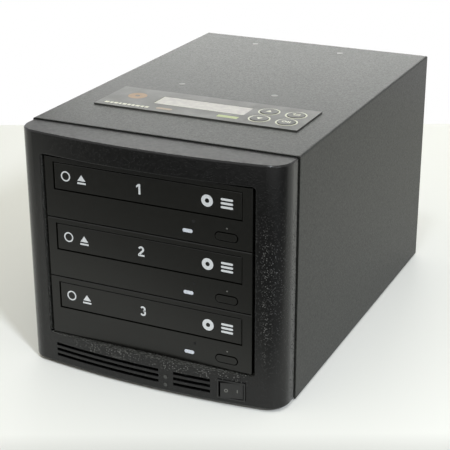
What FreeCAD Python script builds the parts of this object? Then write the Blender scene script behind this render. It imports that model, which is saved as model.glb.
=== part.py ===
import FreeCAD, Part
import os
import re
import Sketcher

# Disc duplicator with three stacked 5.25 inch drives, in millimetres.
# X runs to the right seen from the front, Y to the back and Z up.
# The origin is on the ground, under the middle of the case.

doc = FreeCAD.newDocument("disc_duplicator")

DRIVES = 3

SIZES = {
    # steel case
    "side_room": 22.9,
    "top_room": 16.2,
    "supply_room": 16.8,
    "sheet": 1.0,
    "cover_bend": 1.2,
    "rear_flange": 11.0,
    "pan_flange": 14.0,
    "plate_gap": 0.5,
    "seam_gap": 0.7,
    "frame_lip": 12.0,
    "foot_height": 1.5,
    "foot_width": 16.0,
    "foot_inset": 16.0,
    # moulded front
    "bezel_depth": 27.0,
    "bezel_wall": 2.6,
    "bezel_lift": 0.6,
    "bezel_step": 0.8,
    "bezel_edge": 0.8,
    "bow_radius": 615.0,
    "corner_radius": 14.0,
    "window_gap_x": 2.4,
    "window_gap_z": 0.9,
    "window_corner": 2.5,
    "collar_wall": 2.0,
    "clip_thick": 2.6,
    "clip_height": 8.0,
    "clip_reach": 5.0,
    "clip_barb": 1.2,
    "clip_low_z": 46.0,
    "clip_high_z": 132.0,
    # air slots, lamps and switch under the drives
    "vent_height": 2.2,
    "vent_pitch": 4.0,
    "vent_drop": 8.5,
    "long_vent_x": -31.2,
    "long_vent_length": 81.0,
    "short_vent_x": 33.2,
    "short_vent_length": 26.3,
    "lamp_x": 14.4,
    "lamp_drop": 12.4,
    "lamp_pitch": 5.8,
    "lamp_radius": 1.45,
    "lamp_length": 7.0,
    "lamp_proud": 0.1,
    "switch_x": 61.1,
    "switch_drop": 12.8,
    "switch_width": 19.2,
    "switch_height": 13.4,
    "switch_depth": 14.0,
    "switch_flange": 0.9,
    "switch_rim": 0.5,
    "switch_wall": 0.5,
    "rocker_room": 1.15,
    "rocker_side_gap": 0.3,
    "rocker_pivot": 3.0,
    "rocker_keel": 2.0,
    "rocker_tilt": 8.0,
    "rocker_rise": 0.4,
    "fit": 0.05,
    "slip": 0.2,
    # drives
    "stack_rise": 23.7,
    "shell_gap": 1.4,
    "drive_gap": 0.5,
    "drive_face": 21.8,
    "drive_bezel_lip": 1.3,
    "drive_bezel_thick": 4.5,
    "drive_bezel_edge": 0.5,
    "drive_width": 146.0,
    "drive_height": 41.3,
    "drive_depth": 170.0,
    "drive_wall": 0.9,
    "bay_gap": 0.2,
    "bracket_length": 136.0,
    "bracket_foot": 12.0,
    "bay_window_length": 60.0,
    "bay_window_height": 24.0,
    "drive_screw_rise": 10.0,
    "drive_screw_front": 52.3,
    "drive_screw_pitch": 79.3,
    # disc tray
    "tray_front_side": 6.9,
    "tray_front_height": 18.6,
    "tray_front_drop": 4.0,
    "tray_front_gap": 0.4,
    "tray_front_recess": 0.3,
    "tray_front_edge": 0.6,
    "tray_side": 8.5,
    "tray_length": 152.0,
    "tray_step": 4.1,
    "tray_thick": 6.2,
    "tray_margin": 5.5,
    "disc_well": 60.4,
    "disc_well_depth": 2.4,
    "tray_slot": 17.0,
    "rail_gap": 0.3,
    "rail_grip": 2.2,
    "rail_lip": 2.2,
    # loader inside each drive
    "deck_start": 12.0,
    "deck_thick": 2.0,
    "deck_gap": 0.3,
    "motor_width": 24.0,
    "motor_gap": 0.3,
    "table_radius": 14.5,
    "table_thick": 3.0,
    "table_drop": 3.4,
    "hub_radius": 7.4,
    "hub_height": 2.4,
    "bar_half": 1.5,
    "bar_spread": 13.0,
    "bar_height": 12.0,
    "bar_start": 17.1,
    "bar_length": 49.5,
    "post_thick": 2.0,
    "post_width": 5.0,
    "sled_length": 12.0,
    "sled_overhang": 3.0,
    "sled_above": 3.0,
    "sled_below": 3.0,
    "lens_width": 6.4,
    "lens_height": 1.4,
    "lens_start": 24.0,
    # drive front details
    "eject_inset": 17.5,
    "eject_rise": 7.6,
    "eject_width": 14.8,
    "eject_height": 4.8,
    "eject_proud": 0.4,
    "eject_gap": 0.25,
    "eject_slot": 0.7,
    "eject_flange": 1.1,
    "eject_flange_thick": 1.2,
    "lens_cap_inset": 44.4,
    "lens_cap_rise": 7.4,
    "lens_cap_width": 6.9,
    "lens_cap_height": 2.4,
    "lens_cap_corner": 0.7,
    "lens_cap_proud": 0.1,
    "lens_cap_gap": 0.1,
    # control panel on the top
    "overlay_width": 151.0,
    "overlay_length": 45.4,
    "overlay_thick": 0.8,
    "overlay_y": 67.8,
    "display_x": -3.6,
    "display_y": 70.2,
    "display_width": 67.8,
    "display_length": 16.8,
    "lens_thick": 0.7,
    "lens_ledge": 1.5,
    "module_border": 2.4,
    "module_height": 7.4,
    "key_x": 52.9,
    "key_y": 67.0,
    "key_spread_x": 19.5,
    "key_spread_y": 16.8,
    "key_radius": 6.0,
    "key_gap": 0.3,
    "key_proud": 0.4,
    "key_flange": 13.0,
    "key_flange_thick": 1.0,
    "key_stem": 4.0,
    "key_travel": 0.5,
    "tact_width": 6.0,
    "tact_height": 4.0,
    "board_thick": 1.6,
    "stud_length": 8.0,
    "stud_body": 2.6,
    "panel_stud_inset": 3.0,
    "panel_board_inset": 1.5,
    "main_board_x": -6.3,
    "main_stud_spread_x": 73.0,
    "main_stud_front": 24.5,
    "main_stud_rear": 18.0,
    "main_board_edge": 6.0,
    "chip_width": 28.0,
    "chip_height": 2.2,
    "psu_post": 4.0,
    # power supply and socket
    "psu_width": 125.0,
    "psu_height": 63.5,
    "psu_depth": 100.0,
    "psu_wall": 0.8,
    "psu_rim_x": 11.5,
    "psu_rim_z": 4.2,
    "psu_screw_inset": 6.0,
    "psu_slot_width": 4.0,
    "psu_slot_height": 42.0,
    "psu_slot_pitch": 7.4,
    "psu_slot_x": -18.0,
    "inlet_x": 34.0,
    "inlet_rise": 42.0,
    "inlet_width": 28.0,
    "inlet_height": 21.0,
    "inlet_flange": 1.8,
    "inlet_rim": 1.4,
    "inlet_depth": 19.0,
    "socket_width": 22.6,
    "socket_height": 15.4,
    "socket_depth": 16.5,
    "socket_chamfer": 3.2,
    "blade_width": 4.0,
    "blade_thick": 2.0,
    "blade_length": 13.5,
    "blade_spread": 7.0,
    "blade_offset": 2.0,
    "psu_switch_rise": 17.0,
    # exhaust fan
    "fan_size": 80.0,
    "fan_depth": 25.0,
    "fan_duct": 38.5,
    "fan_hole_pitch": 71.5,
    "fan_gap": 4.0,
    "fan_hub": 18.5,
    "fan_plate": 3.0,
    "fan_strut": 3.0,
    "fan_clearance": 0.4,
    "blade_root": 17.4,
    "blade_tip": 36.0,
    "blade_chord": 21.0,
    "blade_pitch": 40.0,
    "blade_skin": 1.3,
    "grille_radius": 36.0,
    "grille_pitch": 7.6,
    "grille_slot": 4.4,
    # screws
    "screw_head": 2.0,
    "screw_head_radius": 3.2,
    "drive_screw_head": 1.8,
    "cover_screw_x": 58.0,
    "cover_screw_low": 42.0,
    "cover_screw_high": 118.0,
    # wiring
    "cable_x": 24.0,
    "cable_pitch": 10.0,
    "cable_width": 7.0,
    "cable_thick": 2.0,
    "cable_bend": 8.0,
    "cable_run": 5.0,
    "plug_width": 9.0,
    "plug_height": 5.0,
    "plug_length": 4.0,
    "plug_rise": 12.0,
    "header_height": 5.0,
    "harness_x": -36.0,
    "harness_width": 15.0,
    "harness_reach": 9.0,
    "harness_rise": 50.0,
}

# Places worked out from the driving sizes
DERIVED = {
    "case_width": "drive_width + 2 * side_room",
    "cover_height": "stack_rise + stack_height + top_room",
    "cover_depth": "drive_depth - drive_face + supply_room + psu_depth + 2 * sheet",
    "drive_pitch": "drive_height + shell_gap",
    "drive_bezel_width": "drive_width + 2 * drive_bezel_lip",
    "tray_front_width": "drive_bezel_width - 2 * tray_front_side",
    "tray_front_rise": "drive_pitch - tray_front_height - tray_front_drop",
    "tray_width": "drive_width - 2 * tray_side",
    "tray_rise": "tray_front_rise + tray_step",
    "eject_x": "drive_bezel_width / 2 - eject_inset",
    "lens_cap_x": "drive_bezel_width / 2 - lens_cap_inset",
    "overall_depth": "bezel_depth + cover_depth + screw_head",
    "front_y": "-overall_depth / 2",
    "seam_y": "front_y + bezel_depth",
    "rear_y": "seam_y + cover_depth",
    "panel_y": "rear_y - 2 * sheet",
    "pan_z": "foot_height",
    "floor_z": "foot_height + sheet",
    "top_z": "foot_height + cover_height",
    "roof_z": "top_z - sheet",
    "half_width": "case_width / 2",
    "bezel_half": "half_width - bezel_step",
    "bezel_top": "top_z - bezel_step",
    "inner_half": "case_width / 2 - sheet",
    "plate_half": "inner_half - plate_gap",
    "bow_y": "front_y + bow_radius",
    "face_y": "seam_y - drive_face",
    "stack_z": "foot_height + stack_rise",
    "stack_height": f"{DRIVES} * drive_pitch",
    "drive_rear": "face_y + drive_depth",
    "window_half": "drive_bezel_width / 2 + window_gap_x",
    "window_low": "stack_z - window_gap_z",
    "window_high": "stack_z + stack_height + window_gap_z",
    "shell_rise": "shell_gap / 2",
    "deck_z": "shell_rise + drive_wall",
    "deck_top": "deck_z + deck_thick",
    "tray_top": "tray_rise + tray_thick",
    "tray_end": "drive_bezel_thick + tray_length",
    "disc_y": "drive_bezel_thick + tray_margin + disc_well",
    "table_top": "tray_top - table_drop",
    "motor_top": "table_top - table_thick - motor_gap",
    "motor_height": "motor_top - deck_top",
    "bar_z": "deck_top + bar_height",
    "bracket_x": "drive_width / 2 + bay_gap",
    "board_z": "roof_z - stud_length",
    "main_front_y": "seam_y + overlay_y + overlay_length / 2 + main_stud_front",
    "main_rear_y": "panel_y - main_stud_rear",
    "main_board_y": "(main_front_y + main_rear_y) / 2",
    "switch_turn": "asin(switch_x / bow_radius)",
    "switch_y": "bow_y - sqrt(bow_radius ^ 2 - switch_x ^ 2)",
    "switch_z": "stack_z - switch_drop",
    "lamp_y": "bow_y - sqrt(bow_radius ^ 2 - lamp_x ^ 2)",
    "switch_body_half": "switch_width / 2 - switch_rim",
    "switch_body_rise": "switch_height / 2 - switch_rim",
    "switch_room_half": "switch_body_half - switch_wall",
    "switch_room_rise": "switch_body_rise - switch_wall",
    "rocker_half": "switch_room_half - rocker_room",
    "rocker_half_rise": "switch_room_rise - rocker_side_gap",
    "psu_front": "panel_y - psu_depth",
    "psu_mid_z": "floor_z + psu_height / 2",
    "inlet_z": "floor_z + inlet_rise",
    "psu_switch_z": "floor_z + psu_switch_rise",
    "fan_z": "floor_z + psu_height + fan_gap + fan_size / 2",
    "cable_y": "drive_rear + cable_run + cable_bend",
    "header_z": "board_z - board_thick - header_height",
    "stack_front_screw": "face_y + drive_bezel_thick + drive_screw_front",
}

sheet = doc.addObject("Spreadsheet::Sheet", "size")
for row, (alias, value) in enumerate(SIZES.items(), 1):
    sheet.set(f"A{row}", alias)
    sheet.set(f"B{row}", str(value))
    sheet.setAlias(f"B{row}", alias)
doc.recompute()

PIECES = {}


def spell(formula):
    """Write a formula of named sizes as an expression on the sheet."""
    def word(match):
        name = match.group()
        if name in DERIVED:
            return "(" + spell(DERIVED[name]) + ")"
        if name in SIZES:
            return "size." + name
        return name
    return re.sub(r"[a-z][a-z0-9_]*", word, str(formula))


def number(formula):
    """Value of a formula of named sizes."""
    return float(sheet.evalExpression(spell(formula)))


def tie(thing, place, formula):
    """Bind a property to a formula of named sizes."""
    thing.setExpression(place, spell(formula))


def stand(thing, x="0", y="0", z="0", axis=None, turn="0"):
    """Place a piece, turned about one axis."""
    if axis:
        thing.Placement = FreeCAD.Placement(FreeCAD.Vector(), FreeCAD.Rotation(axis, 1))
        tie(thing, "Placement.Rotation.Angle", turn)
    tie(thing, "Placement.Base.x", x)
    tie(thing, "Placement.Base.y", y)
    tie(thing, "Placement.Base.z", z)
    return thing


def keep(label, thing):
    """Name a finished piece."""
    thing.Label = label
    PIECES[label] = thing
    return thing


# Sketches


def new_body(label):
    return doc.addObject("PartDesign::Body", label)


def new_sketch(body, plane, offset="0"):
    """Sketch on a main plane: offset is its z, its y or its x."""
    sketch = body.newObject("Sketcher::SketchObject", body.Name + "_sketch")
    support = [item for item in body.Origin.OriginFeatures if item.Role == plane][0]
    sketch.AttachmentSupport = [(support, "")]
    sketch.MapMode = "FlatFace"
    sign = "-1 * " if plane == "XZ_Plane" else ""
    tie(sketch, "AttachmentOffset.Base.z", f"{sign}({offset})")
    return sketch


def fix(sketch, kind, where, formula):
    """Add a driving dimension bound to a formula."""
    index = sketch.addConstraint(Sketcher.Constraint(kind, *where, number(formula)))
    sketch.setExpression(f"Constraints[{index}]", spell(formula))


def spot(x, y):
    return FreeCAD.Vector(number(x), number(y), 0)


def outline(sketch, corners):
    """Closed outline of straight sides."""
    first = sketch.GeometryCount
    count = len(corners)
    spots = [spot(x, y) for x, y in corners]
    for index in range(count):
        sketch.addGeometry(Part.LineSegment(spots[index], spots[(index + 1) % count]))
    for index in range(count):
        follower = first + (index + 1) % count
        sketch.addConstraint(Sketcher.Constraint("Coincident", first + index, 2, follower, 1))
    for index, (x, y) in enumerate(corners):
        fix(sketch, "DistanceX", (first + index, 1), x)
        fix(sketch, "DistanceY", (first + index, 1), y)


def rectangle(sketch, left, low, right, high):
    outline(sketch, [(left, low), (right, low), (right, high), (left, high)])


def plate_about(sketch, x, y, width, height):
    """Rectangle about its centre."""
    rectangle(sketch, f"{x} - ({width}) / 2", f"{y} - ({height}) / 2",
              f"{x} + ({width}) / 2", f"{y} + ({height}) / 2")


def clipped(sketch, x, y, width, height, corner):
    """Rectangle about its centre, with its four corners cut off."""
    half_x = f"({width}) / 2"
    half_y = f"({height}) / 2"
    near_x = f"({half_x} - {corner})"
    near_y = f"({half_y} - {corner})"
    outline(sketch, [
        (f"{x} - {near_x}", f"{y} - {half_y}"), (f"{x} + {near_x}", f"{y} - {half_y}"),
        (f"{x} + {half_x}", f"{y} - {near_y}"), (f"{x} + {half_x}", f"{y} + {near_y}"),
        (f"{x} + {near_x}", f"{y} + {half_y}"), (f"{x} - {near_x}", f"{y} + {half_y}"),
        (f"{x} - {half_x}", f"{y} + {near_y}"), (f"{x} - {half_x}", f"{y} - {near_y}"),
    ])


def circle(sketch, x, y, radius):
    normal = FreeCAD.Vector(0, 0, 1)
    item = sketch.addGeometry(Part.Circle(spot(x, y), normal, number(radius)))
    fix(sketch, "DistanceX", (item, 3), x)
    fix(sketch, "DistanceY", (item, 3), y)
    fix(sketch, "Radius", (item,), radius)


def arc(sketch, x, y, radius, start, end):
    """Arc drawn anticlockwise from start to end, in quarter turns."""
    quarter = 1.5707963267948966
    base = Part.Circle(spot(x, y), FreeCAD.Vector(0, 0, 1), number(radius))
    return sketch.addGeometry(Part.ArcOfCircle(base, start * quarter, end * quarter))


def line(sketch, x1, y1, x2, y2):
    return sketch.addGeometry(Part.LineSegment(spot(x1, y1), spot(x2, y2)))


def tangent(sketch, one, one_end, other, other_end):
    sketch.addConstraint(Sketcher.Constraint("Tangent", one, one_end, other, other_end))


def rounded(sketch, left, low, right, high, radius):
    """Rectangle with four equal round corners."""
    l, b, r, t, c = f"({left})", f"({low})", f"({right})", f"({high})", f"({radius})"
    south = line(sketch, f"{l} + {c}", b, f"{r} - {c}", b)
    south_east = arc(sketch, f"{r} - {c}", f"{b} + {c}", c, 3, 4)
    east = line(sketch, r, f"{b} + {c}", r, f"{t} - {c}")
    north_east = arc(sketch, f"{r} - {c}", f"{t} - {c}", c, 0, 1)
    north = line(sketch, f"{r} - {c}", t, f"{l} + {c}", t)
    north_west = arc(sketch, f"{l} + {c}", f"{t} - {c}", c, 1, 2)
    west = line(sketch, l, f"{t} - {c}", l, f"{b} + {c}")
    south_west = arc(sketch, f"{l} + {c}", f"{b} + {c}", c, 2, 3)
    chain = [south, south_east, east, north_east, north, north_west, west, south_west]
    for index, item in enumerate(chain):
        tangent(sketch, item, 2, chain[(index + 1) % 8], 1)
    for item in (south, north):
        sketch.addConstraint(Sketcher.Constraint("Horizontal", item))
    for item in (east, west):
        sketch.addConstraint(Sketcher.Constraint("Vertical", item))
    for item in (north_east, north_west, south_west):
        sketch.addConstraint(Sketcher.Constraint("Equal", south_east, item))
    fix(sketch, "Radius", (south_east,), c)
    fix(sketch, "DistanceY", (south, 1), b)
    fix(sketch, "DistanceX", (east, 1), r)
    fix(sketch, "DistanceY", (north, 1), t)
    fix(sketch, "DistanceX", (west, 1), l)


def pill(sketch, x, y, width, height):
    """Slot with round ends, lying along the sketch's first axis."""
    left = f"{x} - ({width}) / 2 + ({height}) / 2"
    right = f"{x} + ({width}) / 2 - ({height}) / 2"
    radius = f"({height}) / 2"
    south = line(sketch, left, f"{y} - {radius}", right, f"{y} - {radius}")
    east = arc(sketch, right, y, radius, 3, 5)
    north = line(sketch, right, f"{y} + {radius}", left, f"{y} + {radius}")
    west = arc(sketch, left, y, radius, 1, 3)
    chain = [south, east, north, west]
    for index, item in enumerate(chain):
        tangent(sketch, item, 2, chain[(index + 1) % 4], 1)
    sketch.addConstraint(Sketcher.Constraint("Horizontal", south))
    sketch.addConstraint(Sketcher.Constraint("Equal", east, west))
    fix(sketch, "Radius", (east,), radius)
    fix(sketch, "DistanceX", (east, 3), right)
    fix(sketch, "DistanceX", (west, 3), left)
    fix(sketch, "DistanceY", (east, 3), y)


def bowed_plan(sketch, inset):
    """Plan of the front moulding: straight sides, round corners and a bowed front."""
    half = number(f"bezel_half - {inset}")
    corner = number(f"corner_radius - {inset}")
    bow = number(f"bow_radius - {inset}")
    seam = number("seam_y")
    centre_y = number("bow_y")
    inner_x = half - corner
    reach = bow - corner
    inner_y = centre_y - (reach ** 2 - inner_x ** 2) ** 0.5
    slope = FreeCAD.Vector(inner_x, inner_y - centre_y, 0)
    slope.normalize()
    touch = FreeCAD.Vector(inner_x, inner_y, 0) + slope * corner
    middle = 4.71238898038469
    swing = slope.getAngle(FreeCAD.Vector(0, -1, 0))
    normal = FreeCAD.Vector(0, 0, 1)
    left_round = Part.Circle(FreeCAD.Vector(-inner_x, inner_y, 0), normal, corner)
    right_round = Part.Circle(FreeCAD.Vector(inner_x, inner_y, 0), normal, corner)
    bow_round = Part.Circle(FreeCAD.Vector(0, centre_y, 0), normal, bow)
    left = sketch.addGeometry(Part.LineSegment(
        FreeCAD.Vector(-half, seam, 0), FreeCAD.Vector(-half, inner_y, 0)))
    left_corner = sketch.addGeometry(Part.ArcOfCircle(
        left_round, middle - 1.5707963267948966, middle - swing))
    front = sketch.addGeometry(Part.ArcOfCircle(bow_round, middle - swing, middle + swing))
    right_corner = sketch.addGeometry(Part.ArcOfCircle(
        right_round, middle + swing, middle + 1.5707963267948966))
    right = sketch.addGeometry(Part.LineSegment(
        FreeCAD.Vector(half, inner_y, 0), FreeCAD.Vector(half, seam, 0)))
    back = sketch.addGeometry(Part.LineSegment(
        FreeCAD.Vector(half, seam, 0), FreeCAD.Vector(-half, seam, 0)))
    chain = [left, left_corner, front, right_corner, right]
    for one, other in zip(chain, chain[1:]):
        tangent(sketch, one, 2, other, 1)
    sketch.addConstraint(Sketcher.Constraint("Coincident", right, 2, back, 1))
    sketch.addConstraint(Sketcher.Constraint("Coincident", back, 2, left, 1))
    sketch.addConstraint(Sketcher.Constraint("Vertical", left))
    sketch.addConstraint(Sketcher.Constraint("Vertical", right))
    sketch.addConstraint(Sketcher.Constraint("Horizontal", back))
    sketch.addConstraint(Sketcher.Constraint("Equal", left_corner, right_corner))
    fix(sketch, "Radius", (left_corner,), f"corner_radius - {inset}")
    fix(sketch, "Radius", (front,), f"bow_radius - {inset}")
    fix(sketch, "DistanceX", (front, 3), "0")
    fix(sketch, "DistanceY", (front, 3), "bow_y")
    fix(sketch, "DistanceX", (left, 1), f"{inset} - bezel_half")
    fix(sketch, "DistanceX", (right, 2), f"bezel_half - {inset}")
    fix(sketch, "DistanceY", (left, 1), "seam_y")


# Features


def pad(body, sketch, length, back=False):
    feature = body.newObject("PartDesign::Pad", body.Name + "_pad")
    feature.Profile = sketch
    tie(feature, "Length", length)
    feature.Reversed = back
    return feature


def pocket(body, sketch, length, back=False):
    feature = body.newObject("PartDesign::Pocket", body.Name + "_pocket")
    feature.Profile = sketch
    tie(feature, "Length", length)
    feature.Reversed = back
    return feature


def edges_where(shape, test):
    return [f"Edge{index}" for index, edge in enumerate(shape.Edges, 1) if test(edge)]


def soften(body, base, radius, test, kind="PartDesign::Fillet"):
    """Round or bevel the edges of a feature that pass a test."""
    doc.recompute()
    feature = body.newObject(kind, body.Name + "_edge")
    feature.Base = (base, edges_where(base.Shape, test))
    tie(feature, "Radius" if kind.endswith("Fillet") else "Size", radius)
    return feature


def lies_at(edge, axis, place):
    """True when a whole edge has one coordinate."""
    box = edge.BoundBox
    low = getattr(box, axis + "Min")
    high = getattr(box, axis + "Max")
    return abs(low - place) < 1e-4 and abs(high - place) < 1e-4


# Plain solids


def box(x, y, z, width, depth, height):
    item = doc.addObject("Part::Box", "block")
    tie(item, "Length", width)
    tie(item, "Width", depth)
    tie(item, "Height", height)
    return stand(item, x, y, z)


def cylinder(x, y, z, radius, height, axis=None, turn="0"):
    item = doc.addObject("Part::Cylinder", "round")
    tie(item, "Radius", radius)
    tie(item, "Height", height)
    return stand(item, x, y, z, axis, turn)


def prism(x, y, z, radius, height, axis=None, turn="0"):
    """Six-sided bar, by the radius of its corners."""
    item = doc.addObject("Part::Prism", "hexagon")
    item.Polygon = 6
    tie(item, "Circumradius", radius)
    tie(item, "Height", height)
    return stand(item, x, y, z, axis, turn)


def join(items):
    fused = doc.addObject("Part::MultiFuse", "joined")
    fused.Shapes = items
    return fused


def cut(base, tools):
    carved = doc.addObject("Part::Cut", "carved")
    carved.Base = base
    carved.Tool = tools[0] if len(tools) == 1 else join(tools)
    return carved


def group(label, items):
    """Several separate solids of one kind in one node."""
    bundle = doc.addObject("Part::Compound", label)
    bundle.Links = items
    return keep(label, bundle)


ALONG_X = FreeCAD.Vector(0, 1, 0)
ALONG_Y = FreeCAD.Vector(1, 0, 0)
UPRIGHT = FreeCAD.Vector(0, 0, 1)

KEYS = {
    "up_key": (-1, 1),
    "down_key": (-1, -1),
    "escape_key": (1, 1),
    "enter_key": (1, -1),
}


def key_place(key):
    side, row = KEYS[key]
    return (f"key_x + {side} * key_spread_x / 2", f"seam_y + key_y + {row} * key_spread_y / 2")


PANEL_STUDS = [
    (f"{side} * (overlay_width / 2 - panel_board_inset - panel_stud_inset)",
     f"seam_y + overlay_y + {row} * (overlay_length / 2 - panel_board_inset - panel_stud_inset)")
    for side in (-1, 1) for row in (-1, 1)
]
MAIN_STUDS = [
    (f"main_board_x + {side} * main_stud_spread_x / 2", row)
    for side in (-1, 1) for row in ("main_front_y", "main_rear_y")
]
FLANGE_SCREWS = [(f"{side} * cover_screw_x", "roof_z - rear_flange / 2") for side in (-1, 1)]
FLANGE_SCREWS += [
    (f"{side} * (inner_half - rear_flange / 2)", f"pan_z + {height}")
    for side in (-1, 1) for height in ("cover_screw_low", "cover_screw_high")
]
FAN_SCREWS = [
    (f"{side} * fan_hole_pitch / 2", f"fan_z + {row} * fan_hole_pitch / 2")
    for side in (-1, 1) for row in (-1, 1)
]
PSU_SCREWS = [
    (f"{side} * (psu_width / 2 - psu_screw_inset)",
     f"psu_mid_z + {row} * (psu_height / 2 - psu_screw_inset)")
    for side in (-1, 1) for row in (-1, 1)
]


# Steel case


def make_cover():
    """Bent cover with its rear flange and the openings of the control panel."""
    body = new_body("top_cover")
    start = "seam_y + seam_gap"
    shell = new_sketch(body, "XZ_Plane", start)
    rectangle(shell, "-half_width", "pan_z", "half_width", "top_z")
    block = pad(body, shell, "cover_depth - seam_gap", back=True)
    top = number("top_z")
    half = number("half_width")
    soften(body, block, "cover_bend", lambda edge: lies_at(edge, "Z", top)
           and (lies_at(edge, "X", half) or lies_at(edge, "X", -half)))
    inside = new_sketch(body, "XZ_Plane", start)
    rectangle(inside, "-inner_half", "pan_z - sheet", "inner_half", "roof_z")
    hollow = pocket(body, inside, "cover_depth - seam_gap - sheet")
    roof = number("roof_z")
    inner = number("inner_half")
    soften(body, hollow, "cover_bend - sheet", lambda edge: lies_at(edge, "Z", roof)
           and (lies_at(edge, "X", inner) or lies_at(edge, "X", -inner)))
    rear = new_sketch(body, "XZ_Plane", "rear_y - 2 * sheet")
    rectangle(rear, "rear_flange - inner_half", "pan_z - sheet",
              "inner_half - rear_flange", "roof_z - rear_flange")
    pocket(body, rear, "3 * sheet")
    holes = new_sketch(body, "XY_Plane", "top_z + sheet")
    plate_about(holes, "display_x", "seam_y + display_y",
                "display_width - 2 * lens_ledge", "display_length - 2 * lens_ledge")
    plate_about(holes, "key_x", "seam_y + key_y", "key_spread_x + key_flange + 2 * key_gap",
                "key_spread_y + key_flange + 2 * key_gap")
    pocket(body, holes, "3 * sheet")
    keep("top_cover", body)


def make_pan():
    """Base pan with upturned sides that stand inside the cover."""
    body = new_body("base_pan")
    section = new_sketch(body, "XZ_Plane", "seam_y + sheet")
    outline(section, [
        ("-inner_half", "pan_z"), ("inner_half", "pan_z"),
        ("inner_half", "pan_z + pan_flange"), ("inner_half - sheet", "pan_z + pan_flange"),
        ("inner_half - sheet", "floor_z"), ("sheet - inner_half", "floor_z"),
        ("sheet - inner_half", "pan_z + pan_flange"), ("-inner_half", "pan_z + pan_flange"),
    ])
    pad(body, section, "panel_y - seam_y - sheet", back=True)
    keep("base_pan", body)


def make_front_frame():
    """Steel front plate behind the moulding, with a lip on the base pan."""
    body = new_body("front_frame")
    plate = new_sketch(body, "XZ_Plane", "seam_y")
    rectangle(plate, "-plate_half", "pan_z", "plate_half", "roof_z - plate_gap")
    pad(body, plate, "sheet", back=True)
    lip = new_sketch(body, "XY_Plane", "floor_z")
    rectangle(lip, "bracket_foot - bracket_x", "seam_y",
              "bracket_x - bracket_foot", "seam_y + sheet + frame_lip")
    pad(body, lip, "sheet")
    holes = new_sketch(body, "XZ_Plane", "seam_y - sheet")
    rectangle(holes, "-bracket_x", "stack_z", "bracket_x", "stack_z + stack_height")
    rectangle(holes, "long_vent_x - long_vent_length / 2",
              "stack_z - vent_drop - 2 * vent_pitch - vent_height / 2",
              "short_vent_x + short_vent_length / 2", "stack_z - vent_drop + vent_height / 2")
    for height in ("clip_low_z", "clip_high_z"):
        low = f"pan_z + {height} - clip_height / 2 - slip"
        high = f"pan_z + {height} + clip_height / 2 + slip"
        inside = "bezel_half - bezel_wall - clip_thick - clip_barb - slip"
        outside = "bezel_half - bezel_wall + slip"
        rectangle(holes, inside, low, outside, high)
        rectangle(holes, f"-({outside})", low, f"-({inside})", high)
    pocket(body, holes, "3 * sheet")
    keep("front_frame", body)


def make_rear_panel():
    """Rear plate with the supply window and the slotted fan grille."""
    body = new_body("rear_panel")
    plate = new_sketch(body, "XZ_Plane", "panel_y")
    rectangle(plate, "-plate_half", "pan_z", "plate_half", "roof_z - plate_gap")
    pad(body, plate, "sheet", back=True)
    holes = new_sketch(body, "XZ_Plane", "panel_y - sheet")
    rectangle(holes, "psu_rim_x - psu_width / 2", "floor_z + psu_rim_z",
              "psu_width / 2 - psu_rim_x", "floor_z + psu_height - psu_rim_z")
    for row in range(-4, 5):
        reach = f"2 * sqrt(grille_radius ^ 2 - ({abs(row)} * grille_pitch + grille_slot / 2) ^ 2)"
        plate_about(holes, "0", f"fan_z + {row} * grille_pitch", reach, "grille_slot")
    pocket(body, holes, "3 * sheet")
    keep("rear_panel", body)


def make_brackets():
    """Drive brackets: angled plates with a window beside each drive."""
    body = new_body("drive_bracket_right")
    section = new_sketch(body, "XZ_Plane", "seam_y + sheet")
    outline(section, [
        ("bracket_x", "floor_z"), ("bracket_x + bracket_foot", "floor_z"),
        ("bracket_x + bracket_foot", "floor_z + sheet"), ("bracket_x + sheet", "floor_z + sheet"),
        ("bracket_x + sheet", "stack_z + stack_height - shell_rise"),
        ("bracket_x", "stack_z + stack_height - shell_rise"),
    ])
    pad(body, section, "bracket_length", back=True)
    holes = new_sketch(body, "YZ_Plane", "bracket_x + 2 * sheet")
    middle = "stack_front_screw + drive_screw_pitch / 2"
    for drive in range(DRIVES):
        level = f"stack_z + {drive} * drive_pitch"
        plate_about(holes, middle, f"{level} + drive_pitch / 2",
                    "bay_window_length", "bay_window_height")
    pocket(body, holes, "3 * sheet")
    keep("drive_bracket_right", body)
    twin = doc.addObject("Part::Mirroring", "drive_bracket_left")
    twin.Source = body
    twin.Normal = FreeCAD.Vector(1, 0, 0)
    keep("drive_bracket_left", twin)


def make_feet():
    """Square rubber pads stuck under the base pan."""
    feet = []
    for side in (-1, 1):
        x = f"{side} * (half_width - foot_inset) - foot_width / 2"
        for y in ("seam_y + foot_inset", "rear_y - foot_inset"):
            feet.append(box(x, f"{y} - foot_width / 2", "0", "foot_width", "foot_width",
                            "foot_height"))
    group("rubber_feet", feet)


def make_screws():
    """Hexagon heads of the case screws on the back and of the drive screws on the brackets."""
    rear = []
    for places, seat in ((FLANGE_SCREWS, "rear_y"), (FAN_SCREWS + PSU_SCREWS, "rear_y - sheet")):
        for x, z in places:
            rear.append(prism(x, seat, z, "screw_head_radius", "screw_head", ALONG_Y, "-90"))
    group("rear_screws", rear)
    sides = []
    for drive in range(DRIVES):
        z = f"stack_z + {drive} * drive_pitch + shell_rise + drive_screw_rise"
        for step in (0, 1):
            y = f"stack_front_screw + {step} * drive_screw_pitch"
            for side, turn in ((1, 90), (-1, -90)):
                x = f"{side} * (bracket_x + sheet)"
                sides.append(prism(x, y, z, "screw_head_radius", "drive_screw_head",
                                   ALONG_X, turn))
    group("drive_screws", sides)


# Moulded front


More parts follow.
